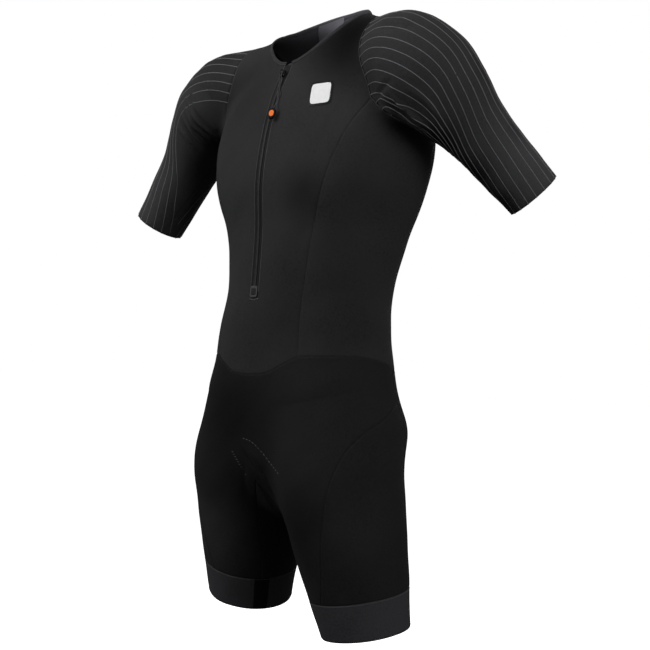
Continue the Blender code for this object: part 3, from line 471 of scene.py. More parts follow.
def between(top, bottom, left, right, ease=0):
    """A grid on the form between four lines; its rows run from the top to the bottom."""
    grid = patch(top, bottom, left, right)
    if ease:
        coarse = patch(*(line[::FINE] for line in (top, bottom, left, right)))
        calm = coarse.copy()
        calm[1:-1, 1:-1] = settle(calm[1:-1, 1:-1])
        for _ in range(ease):
            mean = calm[:-2, 1:-1] + calm[2:, 1:-1] + calm[1:-1, :-2] + calm[1:-1, 2:]
            calm[1:-1, 1:-1] = settle(mean / 4, 2)
        grid = grid + finer(calm - coarse, *grid.shape[:2])
    grid[1:-1, 1:-1] = settle(grid[1:-1, 1:-1])
    return grid


def mirrored(grid):
    return grid[..., ::-1, :] * np.array([-1, 1, 1])


def trimmed(grid, near=(.25, .60)):
    """The grid with more rows and columns close to its four edges."""
    for axis in (0, 1):
        g = np.moveaxis(grid, axis, 0)
        first = [g[0] * (1 - t) + g[1] * t for t in near]
        last = [g[-1] * (1 - t) + g[-2] * t for t in near[::-1]]
        grid = np.moveaxis(np.stack([g[0], *first, *g[1:-1], *last, g[-1]]), 0, axis)
    return grid


def measures(grid):
    """Metres across and along the cloth at each of the grid's points."""
    u = np.linalg.norm(np.diff(grid, axis=1), axis=2).cumsum(axis=1)
    v = np.linalg.norm(np.diff(grid, axis=0), axis=2).cumsum(axis=0)
    u = np.concatenate([np.zeros((len(grid), 1)), u], axis=1)
    v = np.concatenate([np.zeros((1, grid.shape[1])), v])
    return np.stack([u, np.broadcast_to(v.mean(axis=1, keepdims=True), u.shape)], -1)


def woven(grids):
    """Points, four-cornered faces seen from outside, and the cloth's measures at each corner."""
    points, faces, measured, base = [], [], [], 0
    for grid in grids:
        a, b, c = grid[1:, :-1], grid[:-1, :-1], grid[:-1, 1:]
        if (np.cross(a - b, c - b) * outward(b)).sum() < 0:
            grid = grid[:, ::-1]
        rows, columns = grid.shape[:2]
        at = base + np.arange(rows * columns).reshape(rows, columns)
        faces.append(np.stack([at[:-1, :-1], at[1:, :-1], at[1:, 1:], at[:-1, 1:]],
                              -1).reshape(-1, 4))
        points.append(grid.reshape(-1, 3))
        measured.append(measures(grid).reshape(-1, 2))
        base += rows * columns
    points, faces, measured = (np.concatenate(x) for x in (points, faces, measured))
    _, first, same = np.unique(np.round(points * 1e6).astype(np.int64), axis=0,
                               return_index=True, return_inverse=True)
    return points[first], same.reshape(-1)[faces], measured[faces]


def rim_of(faces):
    """Directed edges that only one face uses."""
    a, b = faces.reshape(-1), np.roll(faces, -1, axis=1).reshape(-1)
    keep = a != b
    a, b = a[keep], b[keep]
    size = faces.max() + 1
    open_edge = ~np.isin(a * size + b, b * size + a)
    return np.stack([a[open_edge], b[open_edge]], 1)


def drawn_in(points, normals, rim, amount):
    """The points with the cloth's edge drawn in by the amount."""
    a, b = rim.T
    inward = unit(np.cross(normals[a] + normals[b], points[b] - points[a]))
    total, count = np.zeros_like(points), np.zeros(len(points))
    for end in (a, b):
        np.add.at(total, end, inward)
        np.add.at(count, end, 1)
    mean = total / np.maximum(count, 1)[:, None]
    return points + mean * amount / np.maximum((mean * mean).sum(1), .35)[:, None]


def nearest(points, places):
    """Which of the places is nearest to each point, and how far it is."""
    tree = KDTree(len(places))
    for i, p in enumerate(places):
        tree.insert(p, i)
    tree.balance()
    found = [tree.find(p)[1:] for p in points]
    return np.array([i for i, _ in found]), np.array([away for _, away in found])


def dips(points, lines, reach):
    """1 at the lines, falling smoothly to 0 at the reach from them."""
    samples = np.concatenate([even(line, max(2, int(along(line)[-1] / .0006))) for line in lines])
    return np.clip(1 - nearest(points, samples)[1] / reach, 0, 1) ** 2


def shell(name, grids, wall=CLOTH, lift=0.0, dip=SEAM_DIP, reach=SEAM_ROUND, lines=(),
          gap=SEWN_GAP, dip_inside=0.0, swing=0, reverse=False):
    """A piece of cloth with both faces and its edge, rounded towards its seams."""
    points, faces, corner = woven([trimmed(g) for g in grids])
    rim = rim_of(faces)
    normals = outward(points)
    groove = dips(points, [points[edge] for edge in rim], reach)
    if lines:
        groove = np.maximum(groove, dips(points, lines, reach * .8) * .8)
    centre = drawn_in(points, normals, rim, gap / 2)
    rise = lift + relief(points)
    outer = centre + (rise + wall / 2 - dip * groove)[:, None] * normals
    inner = centre + (rise - wall / 2 + dip_inside * groove)[:, None] * normals
    n = len(points)
    solid = np.concatenate([outer, inner])
    if swing:
        rows = measures(grids[0])[:, 0, 1]
        down = np.zeros(n)
        down[faces.reshape(-1)] = corner.reshape(-1, 2)[:, 1]
        share = np.interp(down, rows, np.linspace(0, 1, len(rows)))
        solid = swung(solid, np.concatenate([share, share]), swing)
    solid = posed(solid)
    sides = np.stack([rim[:, 1], rim[:, 0], rim[:, 0] + n, rim[:, 1] + n], 1)
    shown = np.concatenate([faces, faces[:, ::-1] + n, sides])
    edge_measure = np.zeros((len(sides), 4, 2))
    edge_measure[:, :, 0] = np.array([0, .002, .002, 0])
    corner = np.concatenate([corner, corner[:, ::-1], edge_measure])
    wrong = np.repeat([0, 1, 0], [len(faces), len(faces), len(sides)]) * reverse
    return piece(name, solid, shown, corner, sides=wrong)


def in_scene(name, data):
    """A new object in the scene."""
    made = bpy.data.objects.new(name, data)
    bpy.context.scene.collection.objects.link(made)
    return made


def shade(mesh, sharp):
    """Smooth faces, with edges kept where the mesh turns by more than these degrees."""
    mesh.polygons.foreach_set("use_smooth", [True] * len(mesh.polygons))
    mesh.set_sharp_from_angle(angle=radians(sharp))


def piece(name, points, faces, corner=None, sides=None):
    """A shaded mesh object; faces with repeated corners become triangles or go."""
    kept, uv, side = [], [], []
    flat = faces.tolist() if isinstance(faces, np.ndarray) else faces
    for i, face in enumerate(flat):
        use = [k for k in range(len(face)) if face[k] != face[k - 1]]
        if len({face[k] for k in use}) > 2:
            kept.append([face[k] for k in use])
            side.append(0 if sides is None else int(sides[i]))
            if corner is not None:
                uv += [corner[i][k] for k in use]
    mesh = bpy.data.meshes.new(name)
    mesh.from_pydata([tuple(p) for p in points], [], kept)
    if corner is not None:
        mesh.uv_layers.new(name="cloth").data.foreach_set(
            "uv", np.array(uv, np.float32).ravel())
    mesh.polygons.foreach_set("material_index", side)
    shade(mesh, 50)
    return in_scene(name, mesh)


def finish(made, look, body, *nodes):
    """The piece with its material, its body and the frame nodes that it stands for."""
    if look:
        made.data.materials.append(bpy.data.materials[look])
        if any(p.material_index for p in made.data.polygons):
            made.data.materials.append(bpy.data.materials["knit_wrong_side"])
    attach(made, body)
    if nodes:
        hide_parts(*nodes)
    return made


def cut(made, *grids, halves=1, with_pieces=()):
    return made


def panel(name, look, node, *grids, mirror=False, **how):
    """A piece of cloth on the grids, or on them and their mirror images."""
    made = shell(name, [*grids, *(mirrored(g) for g in grids)] if mirror else grids, **how)
    return cut(finish(made, look, "suit", node), *grids, halves=1 + mirror)


def pair(name, look, node, grid, **how):
    """The same piece on the left and, mirrored, on the right."""
    for side, shape in (("left", grid), ("right", mirrored(grid))):
        panel(f"{name}_{side}", look, f"{node}_{side}", shape, **how)


# ---- materials

def linear(code):
    """A linear colour from an sRGB hex code."""
    parts = [int(code[i:i + 2], 16) / 255 for i in (1, 3, 5)]
    return (*(c / 12.92 if c <= .04045 else ((c + .055) / 1.055) ** 2.4 for c in parts), 1)


def fill(tree, made, inputs):
    """The node's inputs set, or linked from a socket or from a node's first output."""
    for key, value in inputs.items():
        if isinstance(value, bpy.types.Node):
            value = value.outputs[0]
        if isinstance(value, bpy.types.NodeSocket):
            tree.links.new(value, made.inputs[key])
        else:
            made.inputs[key].default_value = value
    return made


def add(tree, kind, settings=None, inputs=None):
    """A node with its settings, and inputs that are set or linked."""
    made = tree.nodes.new(kind)
    for name, value in (settings or {}).items():
        setattr(made, name, value)
    return fill(tree, made, inputs or {})


def blank(name):
    """A new material's tree and its shader."""
    made = bpy.data.materials.new(name)
    made.use_nodes = True
    return made.node_tree, made.node_tree.nodes["Principled BSDF"]


def loops_of(tree, wale, course):
    """The height of a knit's loops on the cloth's own measures, by their size in metres."""
    uv = add(tree, "ShaderNodeUVMap", {"uv_map": "cloth"})
    parts = add(tree, "ShaderNodeSeparateXYZ", inputs={0: uv}).outputs
    step = {"across": parts[0], "along": parts[1]}
    for name, operation, *values in (
            ("wales", "DIVIDE", "across", wale), ("arm", "PINGPONG", "wales", .5),
            ("courses", "DIVIDE", "along", course), ("slant", "ADD", "courses", "arm"),
            ("turn", "MULTIPLY", "slant", 2 * pi), ("row", "SINE", "turn"),
            ("column", "MULTIPLY_ADD", "arm", 2.2, -.4),
            ("loops", "MULTIPLY_ADD", "row", .5, "column")):
        step[name] = add(tree, "ShaderNodeMath", {"operation": operation},
                         {i: step.get(value, value) for i, value in enumerate(values)})
    return step["loops"]


def paint_shade_and_light(tree, place, colour, painted_spots):
    """The colour darkened by painted shade round each spot, or lightened by painted light where a
    spot's amount is negative.
    """
    total = 1.0
    for centre, reach, amount in painted_spots:
        away = add(tree, "ShaderNodeVectorMath", {"operation": "DISTANCE"}, {0: place, 1: centre})
        fall = add(tree, "ShaderNodeMapRange", {"interpolation_type": "SMOOTHSTEP"},
                   {"Value": away.outputs["Value"], "From Max": reach, "To Min": 1 - amount})
        total = add(tree, "ShaderNodeMath", {"operation": "MULTIPLY"}, {0: total, 1: fall})
    return add(tree, "ShaderNodeMix", {"data_type": "RGBA", "blend_type": "MULTIPLY"},
               {"Factor": 1.0, "A": colour, "B": total}).outputs["Result"]


def knit(name, dark, light, rough=.80, wale=.0016, course=.0014, bump=.45, grain=.45,
         sheen=.01, painted_spots=()):
    """Fine matt polyester knit: even loops, a faint mottle from stretch, and a soft nap; painted
    shade and painted light deepen or lift its colour at given spots.
    """
    tree, bsdf = blank(name)
    place = add(tree, "ShaderNodeTexCoord").outputs["Object"]
    mottle, speck = (add(tree, "ShaderNodeTexNoise", inputs={
        "Vector": place, "Scale": scale, "Detail": detail, "Roughness": uneven})
        for scale, detail, uneven in ((14.0, 1.0, .45), (300.0, 2.0, .7)))
    loops = loops_of(tree, wale, course)
    # Each noise and the loops by their share of the tone, about a middle of 1.
    mottle_share, loop_share = .45, .18
    nap = add(tree, "ShaderNodeMath", {"operation": "MULTIPLY_ADD"},
              {0: speck, 1: grain * 2, 2: 1 - mottle_share / 2 - grain})
    both_noises = add(tree, "ShaderNodeMath", {"operation": "MULTIPLY_ADD"},
                      {0: mottle, 1: mottle_share, 2: nap})
    tone = add(tree, "ShaderNodeMath", {"operation": "MULTIPLY_ADD", "use_clamp": True},
               {0: loops, 1: loop_share, 2: both_noises})
    level = add(tree, "ShaderNodeMapRange",
                inputs={"Value": tone, "From Min": .58, "From Max": 1.42})
    height = add(tree, "ShaderNodeMath", {"operation": "MULTIPLY_ADD"},
                 {0: speck, 1: .9, 2: loops})
    raised = add(tree, "ShaderNodeBump",
                 inputs={"Strength": bump, "Distance": .00035, "Height": height})
    colour = add(tree, "ShaderNodeMix", {"data_type": "RGBA"},
                 {"Factor": level, "A": linear(dark), "B": linear(light)}).outputs["Result"]
    # Painted shade and painted light round the given spots change the knit's colour.
    fill(tree, bsdf, {"Base Color": paint_shade_and_light(tree, place, colour, painted_spots) if painted_spots else colour,
                      "Roughness": rough, "Sheen Weight": sheen, "Sheen Roughness": .45,
                      "Specular IOR Level": .04, "Normal": raised})


def moulded(name, dark, light, rough=.60, grit=900.0, bump=.15, shine=.2, metallic=0.0,
            coat=0.0):
    """A small hard or rubbery part with a fine grain and slightly uneven gloss."""
    tree, bsdf = blank(name)
    place = add(tree, "ShaderNodeTexCoord").outputs["Object"]
    grain, wear = (add(tree, "ShaderNodeTexNoise", inputs={
        "Vector": place, "Scale": scale, "Detail": 2.0}) for scale in (grit, 160.0))
    gloss = add(tree, "ShaderNodeMapRange",
                inputs={"Value": grain, "To Min": rough - .08, "To Max": rough + .08})
    raised = add(tree, "ShaderNodeBump",
                 inputs={"Strength": bump, "Distance": .0001, "Height": grain})
    colour = add(tree, "ShaderNodeMix", {"data_type": "RGBA"},
                 {"Factor": wear, "A": linear(dark), "B": linear(light)}).outputs["Result"]
    fill(tree, bsdf, {"Base Color": colour, "Roughness": gloss, "Metallic": metallic,
                      "Coat Weight": coat, "Specular IOR Level": shine, "Normal": raised})


def twill(name, dark, light, pitch, rough=.8):
    """Woven tape: fine slanted ridges."""
    tree, bsdf = blank(name)
    uv = add(tree, "ShaderNodeUVMap", {"uv_map": "cloth"})
    ridges = add(tree, "ShaderNodeTexWave", {"wave_type": "BANDS", "bands_direction": "DIAGONAL"},
                 {"Vector": uv, "Scale": .5 / pitch, "Distortion": .4, "Detail": 1.0})
    height = ridges.outputs["Fac"]
    raised = add(tree, "ShaderNodeBump",
                 inputs={"Strength": .5, "Distance": .0002, "Height": height})
    colour = add(tree, "ShaderNodeMix", {"data_type": "RGBA"},
                 {"Factor": height, "A": linear(dark), "B": linear(light)}).outputs["Result"]
    fill(tree, bsdf, {"Base Color": colour, "Roughness": rough, "Sheen Weight": .03,
                      "Specular IOR Level": .1, "Normal": raised})


def make_materials():
    # Loops of a race knit are 0.4 to 0.6 mm; these are drawn at 1.3 to 2 mm so that they show.
    # Each painted spot is a centre, its reach and how much deeper its painted shade makes the
    # colour at its middle; a negative amount paints light there instead.
    # Smooth jersey: a dry, even black, with painted shade over the near shoulder, a hollow of the
    # chest, the belly and the far chest.
    knit("polyester_body_knit", "#1E1E1F", "#373738", painted_spots=(
        ((.118, -.042, -.022), .135, 1.0), ((.0865, -.101, -.270), .065, .42),
        ((.095, -.090, -.430), .150, .40), ((0, -.110, -.500), .110, .20),
        ((-.075, -.075, -.100), .110, .32)))
    # The same jersey with a little more nap, so that the sides look softer and flatter, with
    # painted shade low on the side and under the arm.
    knit("polyester_side_knit", "#1D1D1E", "#363637", bump=.50, grain=.5, painted_spots=(
        ((.13, -.05, -.44), .14, .35), ((.215, -.02, -.165), .05, .5)))
    # Denser jersey for the legs: the deepest black of the three, with painted shade over the
    # front, the crotch and the near thigh's front, and painted light over the far thigh and the
    # near thigh's side.
    knit("polyester_shorts_knit", "#121213", "#252526", painted_spots=(
        ((-.05, -.100, -.600), .150, .62), ((.100, -.080, -.760), .085, .45),
        ((0, -.080, -.700), .080, .60), ((-.110, -.050, -.780), .090, -.90),
        ((.165, -.050, -.740), .090, -.35)))
    # Thin knit stretched over the arm: a greyer black, with painted shade, near black, in the
    # armpits, along the near sleeve's underside and over the far shoulder, and painted light
    # towards each cuff.
    knit("ribbed_sleeve_knit", "#1F1F20", "#3A3A3B", .74, course=.0013, bump=.50, painted_spots=(
        ((.215, -.050, -.150), .040, .75), ((.300, .110, -.215), .150, -.62),
        ((.253, .002, -.194), .060, .90), ((.266, .060, -.232), .056, .95),
        ((.287, .104, -.268), .050, .90), ((.305, .030, -.090), .034, .30),
        ((.324, .084, -.169), .030, .30), ((.175, -.050, -.060), .035, .20),
        ((-.320, -.040, -.260), .120, -.45), ((-.205, -.050, -.150), .040, .45),
        ((-.195, -.030, -.030), .110, .42)))
    # Flat elastic: close cords along the band, and a greyer face than the legs above it.
    knit("elastic_gripper_knit", "#262628", "#3F3F42", wale=.0012, course=.0020, bump=.50)
    # The same elastic in black yarn, so that the strip looks like a gap in the band.
    knit("dark_elastic_strip", "#0A0A0B", "#161617", wale=.0012, course=.0020, bump=.50)
    # A folded, pressed binding: closer loops and a slightly smoother edge.
    knit("bound_edge_knit", "#1E1E20", "#333334", .75, wale=.0012, course=.0012)
    # Brushed knit: a soft bloom where light grazes it.
    knit("brushed_guard_knit", "#2C2C2F", "#404044", .75, wale=.0012, course=.0012, sheen=.05)
    # The knit's back, where its pale filling yarn lies, is lighter than its face.
    knit("knit_wrong_side", "#38383B", "#505055", bump=.35, sheen=.03)
    # Close twill tape: dry and dark, with ridges that only just show.
    twill("woven_zip_tape", "#0A0A0B", "#171718", .0011)
    # Satin-woven tape: grey, with the smoothest gloss of the cloths.
    twill("woven_label_satin", "#55555A", "#6E6E74", .0009, .55)
    # A raised printed rib catches more light than the knit under it.
    moulded("printed_rib", "#4A4A4D", "#626265", .50, 700.0, .4)
    # Spun thread, matt and paler than the knit, so that its stitches show as dots.
    moulded("sewing_thread", "#464648", "#5C5C60", grit=1600.0, bump=.3)
    # The same thread in black: stitches that show by their shadows.
    moulded("dark_thread", "#101011", "#1C1C1D", grit=1600.0, bump=.3)
    # Round cord under a folded edge, paler than the cloth beside it: its colour is a painted
    # highlight along the edge.
    moulded("piped_welt", "#2E2E30", "#3E3E40", grit=1400.0, bump=.3)
    # Braided cord: strands that go from black to grey as they turn.
    moulded("braided_cord", "#1C1C1E", "#4A4A4D", grit=1800.0, bump=.5)
    # Extruded nylon: half gloss, so that each tooth has its own small light.
    moulded("nylon_zip_coil", "#161617", "#2A2A2C", .46, 1200.0)
    # Die-cast zinc under satin black paint: the sharpest lights on the suit.
    moulded("painted_zinc_slider", "#0A0A0B", "#181819", .36, metallic=.6, coat=.1)
    # Moulded rubber: a deep black with a wide, dull light; its dot is an even, flat orange.
    moulded("moulded_rubber_grip", "#050506", "#0B0B0C", .55, shine=.1)
    moulded("orange_rubber", "#C85A20", "#D87434")
    # Film pressed on with heat: smooth and even, with no knit showing through.
    moulded("white_transfer_film", "#CFCFCF", "#DEDEDE", grit=400.0, bump=.05)
    moulded("black_transfer_film", "#050506", "#0A0A0B", .55, 400.0, .05, .1)
    # Pressed nylon patch: a flat dark middle in a scuffed, paler frame.
    moulded("pressed_end_stop", "#070708", "#101011", .52, shine=.1)
    moulded("pale_end_stop", "#232325", "#303032", .55)


# ---- what follows a line, grown by Geometry Nodes

def tree_along(name, sizes):
    """A Geometry Nodes tree with mesh lines coming in, named sizes and a material."""
    tree = bpy.data.node_groups.new(name, "GeometryNodeTree")
    for title, way, kind in (
            ("Geometry", "INPUT", "Geometry"), *((size, "INPUT", "Float") for size in sizes),
            ("Material", "INPUT", "Material"), ("Geometry", "OUTPUT", "Geometry")):
        tree.interface.new_socket(title, in_out=way, socket_type=f"NodeSocket{kind}")
    begin = add(tree, "NodeGroupInput").outputs
    return tree, begin, add(tree, "GeometryNodeMeshToCurve", inputs={"Mesh": begin["Geometry"]})


def close_tree(tree, begin, shape):
    """Realizes the tree's shapes, rounds their shading and gives them the material."""
    real = add(tree, "GeometryNodeRealizeInstances", inputs={0: shape})
    rounded_off = add(tree, "GeometryNodeSetShadeSmooth", inputs={0: real})
    dressed = add(tree, "GeometryNodeSetMaterial",
                  inputs={"Geometry": rounded_off, "Material": begin["Material"]})
    add(tree, "NodeGroupOutput", inputs={0: dressed})


def make_beads_tree():
    """Stitches, teeth or beads: rounded grains at even steps along the lines."""
    tree, begin, curve = tree_along(BEADS, ("Pitch", "Length", "Width", "Height", "Turn"))
    spaced = add(tree, "GeometryNodeResampleCurve", {"mode": "LENGTH"},
                 {"Curve": curve, "Length": begin["Pitch"]})
    way = add(tree, "GeometryNodeInputTangent")
    out = add(tree, "GeometryNodeInputNamedAttribute", {"data_type": "FLOAT_VECTOR"},
              {"Name": "out"})
    stand = add(tree, "FunctionNodeAlignRotationToVector", {"axis": "Z"}, {"Vector": out})
    lie = add(tree, "FunctionNodeAlignRotationToVector", {"axis": "X", "pivot_axis": "Z"},
              {"Rotation": stand, "Vector": way})
    turn = add(tree, "FunctionNodeAxisAngleToRotation",
               inputs={"Axis": (0, 0, 1), "Angle": begin["Turn"]})
    turned_grain = add(tree, "FunctionNodeRotateRotation", {"rotation_space": "LOCAL"},
                       {0: lie, 1: turn})
    grain = add(tree, "GeometryNodeMeshIcoSphere", inputs={"Radius": .5, "Subdivisions": 2})
    size = add(tree, "ShaderNodeCombineXYZ",
               inputs={0: begin["Length"], 1: begin["Width"], 2: begin["Height"]})
    close_tree(tree, begin, add(tree, "GeometryNodeInstanceOnPoints", inputs={
        "Points": spaced, "Instance": grain, "Rotation": turned_grain, "Scale": size}))


def make_ridges_tree():
    """Round ridges or cords along the lines, with closed ends."""
    tree, begin, curve = tree_along(RIDGES, ("Radius",))
    ring = add(tree, "GeometryNodeCurvePrimitiveCircle",
               inputs={"Resolution": 8, "Radius": begin["Radius"]})
    close_tree(tree, begin, add(tree, "GeometryNodeCurveToMesh", inputs={
        "Curve": curve, "Profile Curve": ring, "Fill Caps": True}))


def grown(name, lines, kind, look, *nodes, body="suit", **sizes):
    """The plain mesh that a tree grows on lines of (points, ways out), as a finished piece."""
    points, outs, edges = [], [], []
    for line, out in lines:
        edges += [(len(points) + i, len(points) + i + 1) for i in range(len(line) - 1)]
        points += [tuple(p) for p in line]
        outs += list(out)
    mesh = bpy.data.meshes.new(name)
    mesh.from_pydata(points, edges, [])
    mesh.attributes.new("out", "FLOAT_VECTOR", "POINT").data.foreach_set(
        "vector", np.array(outs, np.float32).ravel())
    made = in_scene(name, mesh)
    grow = made.modifiers.new("grow", "NODES")
    grow.node_group = bpy.data.node_groups[kind]
    values = {**sizes, "Material": bpy.data.materials[look]}
    for item in grow.node_group.interface.items_tree:
        if item.in_out == "INPUT" and item.name in values:
            grow[item.identifier] = values[item.name]
    made.data = bpy.data.meshes.new_from_object(
        made.evaluated_get(bpy.context.evaluated_depsgraph_get()))
    made.modifiers.clear()
    made.data.name = name
    return finish(made, None, body, *nodes)


def cord(name, path, look, radius, *nodes, body="suit"):
    """A round cord or wire along one path."""
    return grown(name, [(path, np.tile([0, -1, 0], (len(path), 1)))], RIDGES, look, *nodes,
                 body=body, Radius=radius)


def stitched(name, lines, look="sewing_thread", **sizes):
    """Rows of stitches lying on the cloth."""
    return grown(name, lines, BEADS, look, **{**STITCH, **sizes})


def laid_line(line, amount, side=1):
    """A line raised off the cloth, where the suit hangs, with its ways out."""
    place, out = lifted(line * [side, 1, 1], amount)
    return posed(place), out


def beside(line, offset, toward):
    """The line moved along the cloth by the offset, towards the side of a point."""
    way = np.gradient(line, axis=0)
    side = unit(np.cross(way, outward(line)))
    sign = np.sign((side * (np.asarray(toward) - line)).sum())
    return settle(line + sign * offset * side, 3)


def both(line, amount):
    return [laid_line(line, amount, side) for side in (1, -1)]


# ---- the suit's cloth

def bodice(line):
    """Front, side panels and back, from the shoulders to the waist seam."""
    front = between(joined(line["neck_front"], line["shoulder"]), line["waist_front"],
                    np.concatenate([line["zip_edge"], line["belly"]]),
                    joined(line["arm_front"], line["princess"]))
    under = between(line["arm_under"], line["waist_side"], line["princess"], line["back_side"])
    back = between(joined(line["neck_back"][::-1], line["shoulder"]), line["waist_back"][::-1],
                   line["middle_back"], joined(line["arm_back"][::-1], line["back_side"]))
    for node, grid in (("front", front), ("back", back)):
        panel(f"{node}_panel", "polyester_body_knit", node, grid, mirror=True, reverse=True)
    pair("side_panel", "polyester_side_knit", "side", under)


def armhole(line):
    return joined(line["arm_front"], line["arm_under"], line["arm_back"])


def sleeve_grid(line):
    """Rings from the armhole to the cuff, each cast outward from its own middle."""
    hole = armhole(line)
    up = unit(np.array([0, 0, 1]) - ARM_AXIS[2] * ARM_AXIS)
    front = frontward(np.cross(up, ARM_AXIS))
    s = along(hole)
    angle = 2 * pi * s / s[-1]
    start, end = hole[:-1:FINE].mean(axis=0), SHOULDER + CUFF * ARM_AXIS
    last = np.cos(angle)[:, None] * up + np.sin(angle)[:, None] * front
    v = (np.linspace(0, 1, SLEEVE_ROWS * FINE + 1) ** 1.15)[:, None, None]
    middle = np.broadcast_to((1 - v) * start + v * end, (v.shape[0], len(hole), 3))
    grid = cast(middle, unit((1 - v) * unit(hole - start) + v * last))
    grid[0] = hole
    grid[:, -1] = grid[:, 0]
    return grid


def cast(start, way, far=.16, steps=40):
    """Where straight lines from inside the form first leave it."""
    length = np.full(start.shape[:-1], far)
    for k in range(steps, 0, -1):
        out = form(start + way * (far * k / steps)) > 0
        length = np.where(out, far * k / steps, length)
    low, high = length - far / steps, length
    for _ in range(14):
        half = (low + high) / 2
        out = form(start + way * half[..., None]) > 0
        low, high = np.where(out, low, half), np.where(out, half, high)
    return start + way * ((low + high) / 2)[..., None]


def on_sleeve(points, share, side, amount):
    """Points over a sleeve's cloth where it hangs, and the ways out from it."""
    place, out = lifted(points * [side, 1, 1], amount)
    here, above = (swung(p, share, side) for p in (place, place + .001 * out))
    return posed(here), unit(above - here)


def rib_paths(grid, shortest):
    """Rows of points down the sleeve's form, at an even pitch from its top line.

    Each path leaves the armhole square to it, bends until the sleeve is a plain tube, and then
    follows the tube to the cuff or ends on the underarm line.
    """
    rings = [along(row) for row in grid]
    least = np.minimum.accumulate([ring[-1] for ring in rings])
    bend = int(np.argmax((grid.mean(axis=1) - SHOULDER) @ ARM_AXIS > RIB_BEND))

    def at(row, across):
        spot = across * rings[row][-1] / least[row] % rings[row][-1]
        return drawn(spot, rings[row], grid[row])

    paths = []
    count = int(least[0] / 2 / RIB_PITCH) + 1
    for k in range(-count, count + 1):
        across = (k + RIB_START) * RIB_PITCH
        last = int((least / 2 > abs(across) + .003).sum()) - 1
        if last < max(bend, shortest * len(grid)):
            continue
        foot = min(bend, last)
        start, end = at(0, across), at(foot, across)
        edge = at(0, across + .002) - at(0, across - .002)
        leave = unit(np.cross(edge, outward(start)))
        leave *= np.sign(leave @ (end - start)) * np.linalg.norm(end - start)
        join = unit(end - at(foot - 2, across) if foot > last - 2 else at(foot + 2, across) - end)
        join *= np.linalg.norm(end - start)
        path = arc(np.linspace(0, 1, 30)[:, None], start, end, leave, join)
        tail = [at(row, across) for row in range(foot + 1, last + 1)]
        paths.append(np.concatenate([settle(path, 6), np.array(tail).reshape(-1, 3)]))
    return paths


def rows_at(grid, points):
    """Which of the grid's rows the points are nearest to, with fractions."""
    i, j = np.divmod(nearest(points, grid.reshape(-1, 3))[0], grid.shape[1])
    i = np.clip(i, 1, len(grid) - 2)
    way = grid[i + 1, j] - grid[i - 1, j]
    step = ((points - grid[i, j]) * way).sum(1) / np.maximum((way * way).sum(1), 1e-12)
    return np.clip(i + 2 * step, 0, len(grid) - 1)


def rib_lines(grid, side):
    lines = []
    for path in rib_paths(grid, RIB_SHORTEST[side]):
        share = rows_at(grid, path) / (len(grid) - 1)
        share[1:-1] = (share[:-2] + share[1:-1] + share[2:]) / 3
        lines.append(on_sleeve(path, share, side, FACE - RIB_SUNK))
    return lines


def sleeves(line):
    grid = sleeve_grid(line)
    underarm = grid[:, grid.shape[1] // 2]
    for name, side in (("left", 1), ("right", -1)):
        shape = grid if side > 0 else mirrored(grid)
        sleeve = shell(f"sleeve_cloth_{name}", [shape], lines=[underarm * [side, 1, 1]],
                       swing=side, dip=SLEEVE_DIP, reach=SLEEVE_ROUND)
        finish(sleeve, "ribbed_sleeve_knit", "suit", f"sleeve_{name}")
        ribs = grown(f"sleeve_ribs_{name}", rib_lines(grid, side), RIDGES, "printed_rib",
                     Radius=RIB_RADIUS)
        cut(sleeve, shape, with_pieces=[ribs])


def halved(line):
    """The line with twice as many points, as long as it was."""
    out = np.repeat(line, 2, axis=0)[:-1]
    out[1::2] = (line[:-1] + line[1:]) / 2
    return out


def shorts(line):
    look = "polyester_shorts_knit"
    front = between(joined(line["waist_front"], line["waist_side"]), line["grip_inner"],
                    joined(line["crotch_front"], halved(line["inseam"])),
                    joined(line["side_upper"], line["hip"], line["leg_front"]))
    panel("shorts_front_panel", look, "shorts_front", front, mirror=True)
    seat = between(line["waist_back"], line["under_seat"],
                   joined(line["side_upper"], line["seat_side"]), line["crotch_back"], 30)
    under = between(joined(line["under_seat"], line["crotch_under"]), line["grip_back"],
                    line["leg_back"], line["inseam"], 30)
    panel("shorts_back_panel", look, "shorts_back", seat, under, mirror=True)
    thigh = between(line["hip"][::-1], line["grip_outer"], line["leg_front"],
                    joined(line["seat_side"], line["leg_back"]))
    pair("thigh_panel", look, "thigh", thigh)


def grippers():
    """A band round each leg, with a dark strip let in on the inner side."""
    start, end = STRIP_AT - STRIP_WIDE / 2, STRIP_AT + STRIP_WIDE / 2
    rows = np.linspace(GRIP_TOP, HEM, GRIPPER_ROWS * FINE + 1)
    for part, look, a, b, facets in (
            ("gripper", "elastic_gripper_knit", end, start + 360, 30 * FINE // 2),
            ("gripper_strip", "dark_elastic_strip", start, end, 2 * FINE)):
        grid = np.array([leg_ring(w, np.linspace(a, b, facets + 1)) for w in rows])
        pair(f"{part}_band", look, part, grid, gap=-.0002)


# ---- trim

def binding_grid(line):
    """A bound edge that stands on the neckline, from one zip edge round to the other."""
    half = joined(line["neck_front"], line["neck_back"])
    rim = unit(np.cross(unit(np.gradient(half, axis=0)), outward(half)))
    rim *= np.sign((rim * (np.array([0, 0, .2]) - half)).sum(1))[:, None]
    rim[-1, 0] = 0
    rows = []
    for t in np.linspace(0, 1, 8):
        row = settle(half + unit(rim) * BINDING_WIDE * t, 3) if t else half
        row[-1, 0] = 0
        rows.append(row)
    return np.array(rows)


def collar(line):
    grid = binding_grid(line)
    band = shell("collar_binding_band", [grid, mirrored(grid)], wall=BINDING_THICK,
                 dip=BINDING_DIP, dip_inside=BINDING_DIP, reach=BINDING_THICK, gap=-.0004,
                 reverse=True)
    finish(band, "bound_edge_knit", "suit", "collar_binding")
    stitch = stitched("collar_topstitch", [row for k in (2, 5)
                                           for row in both(grid[k], BINDING_THICK / 2 + .00002)],
                      Pitch=.0026, Length=.0021)
    # The strip is cut twice as wide, folded over the edge; half of that shows.
    cut(band, grid, mirrored(grid), with_pieces=[stitch])


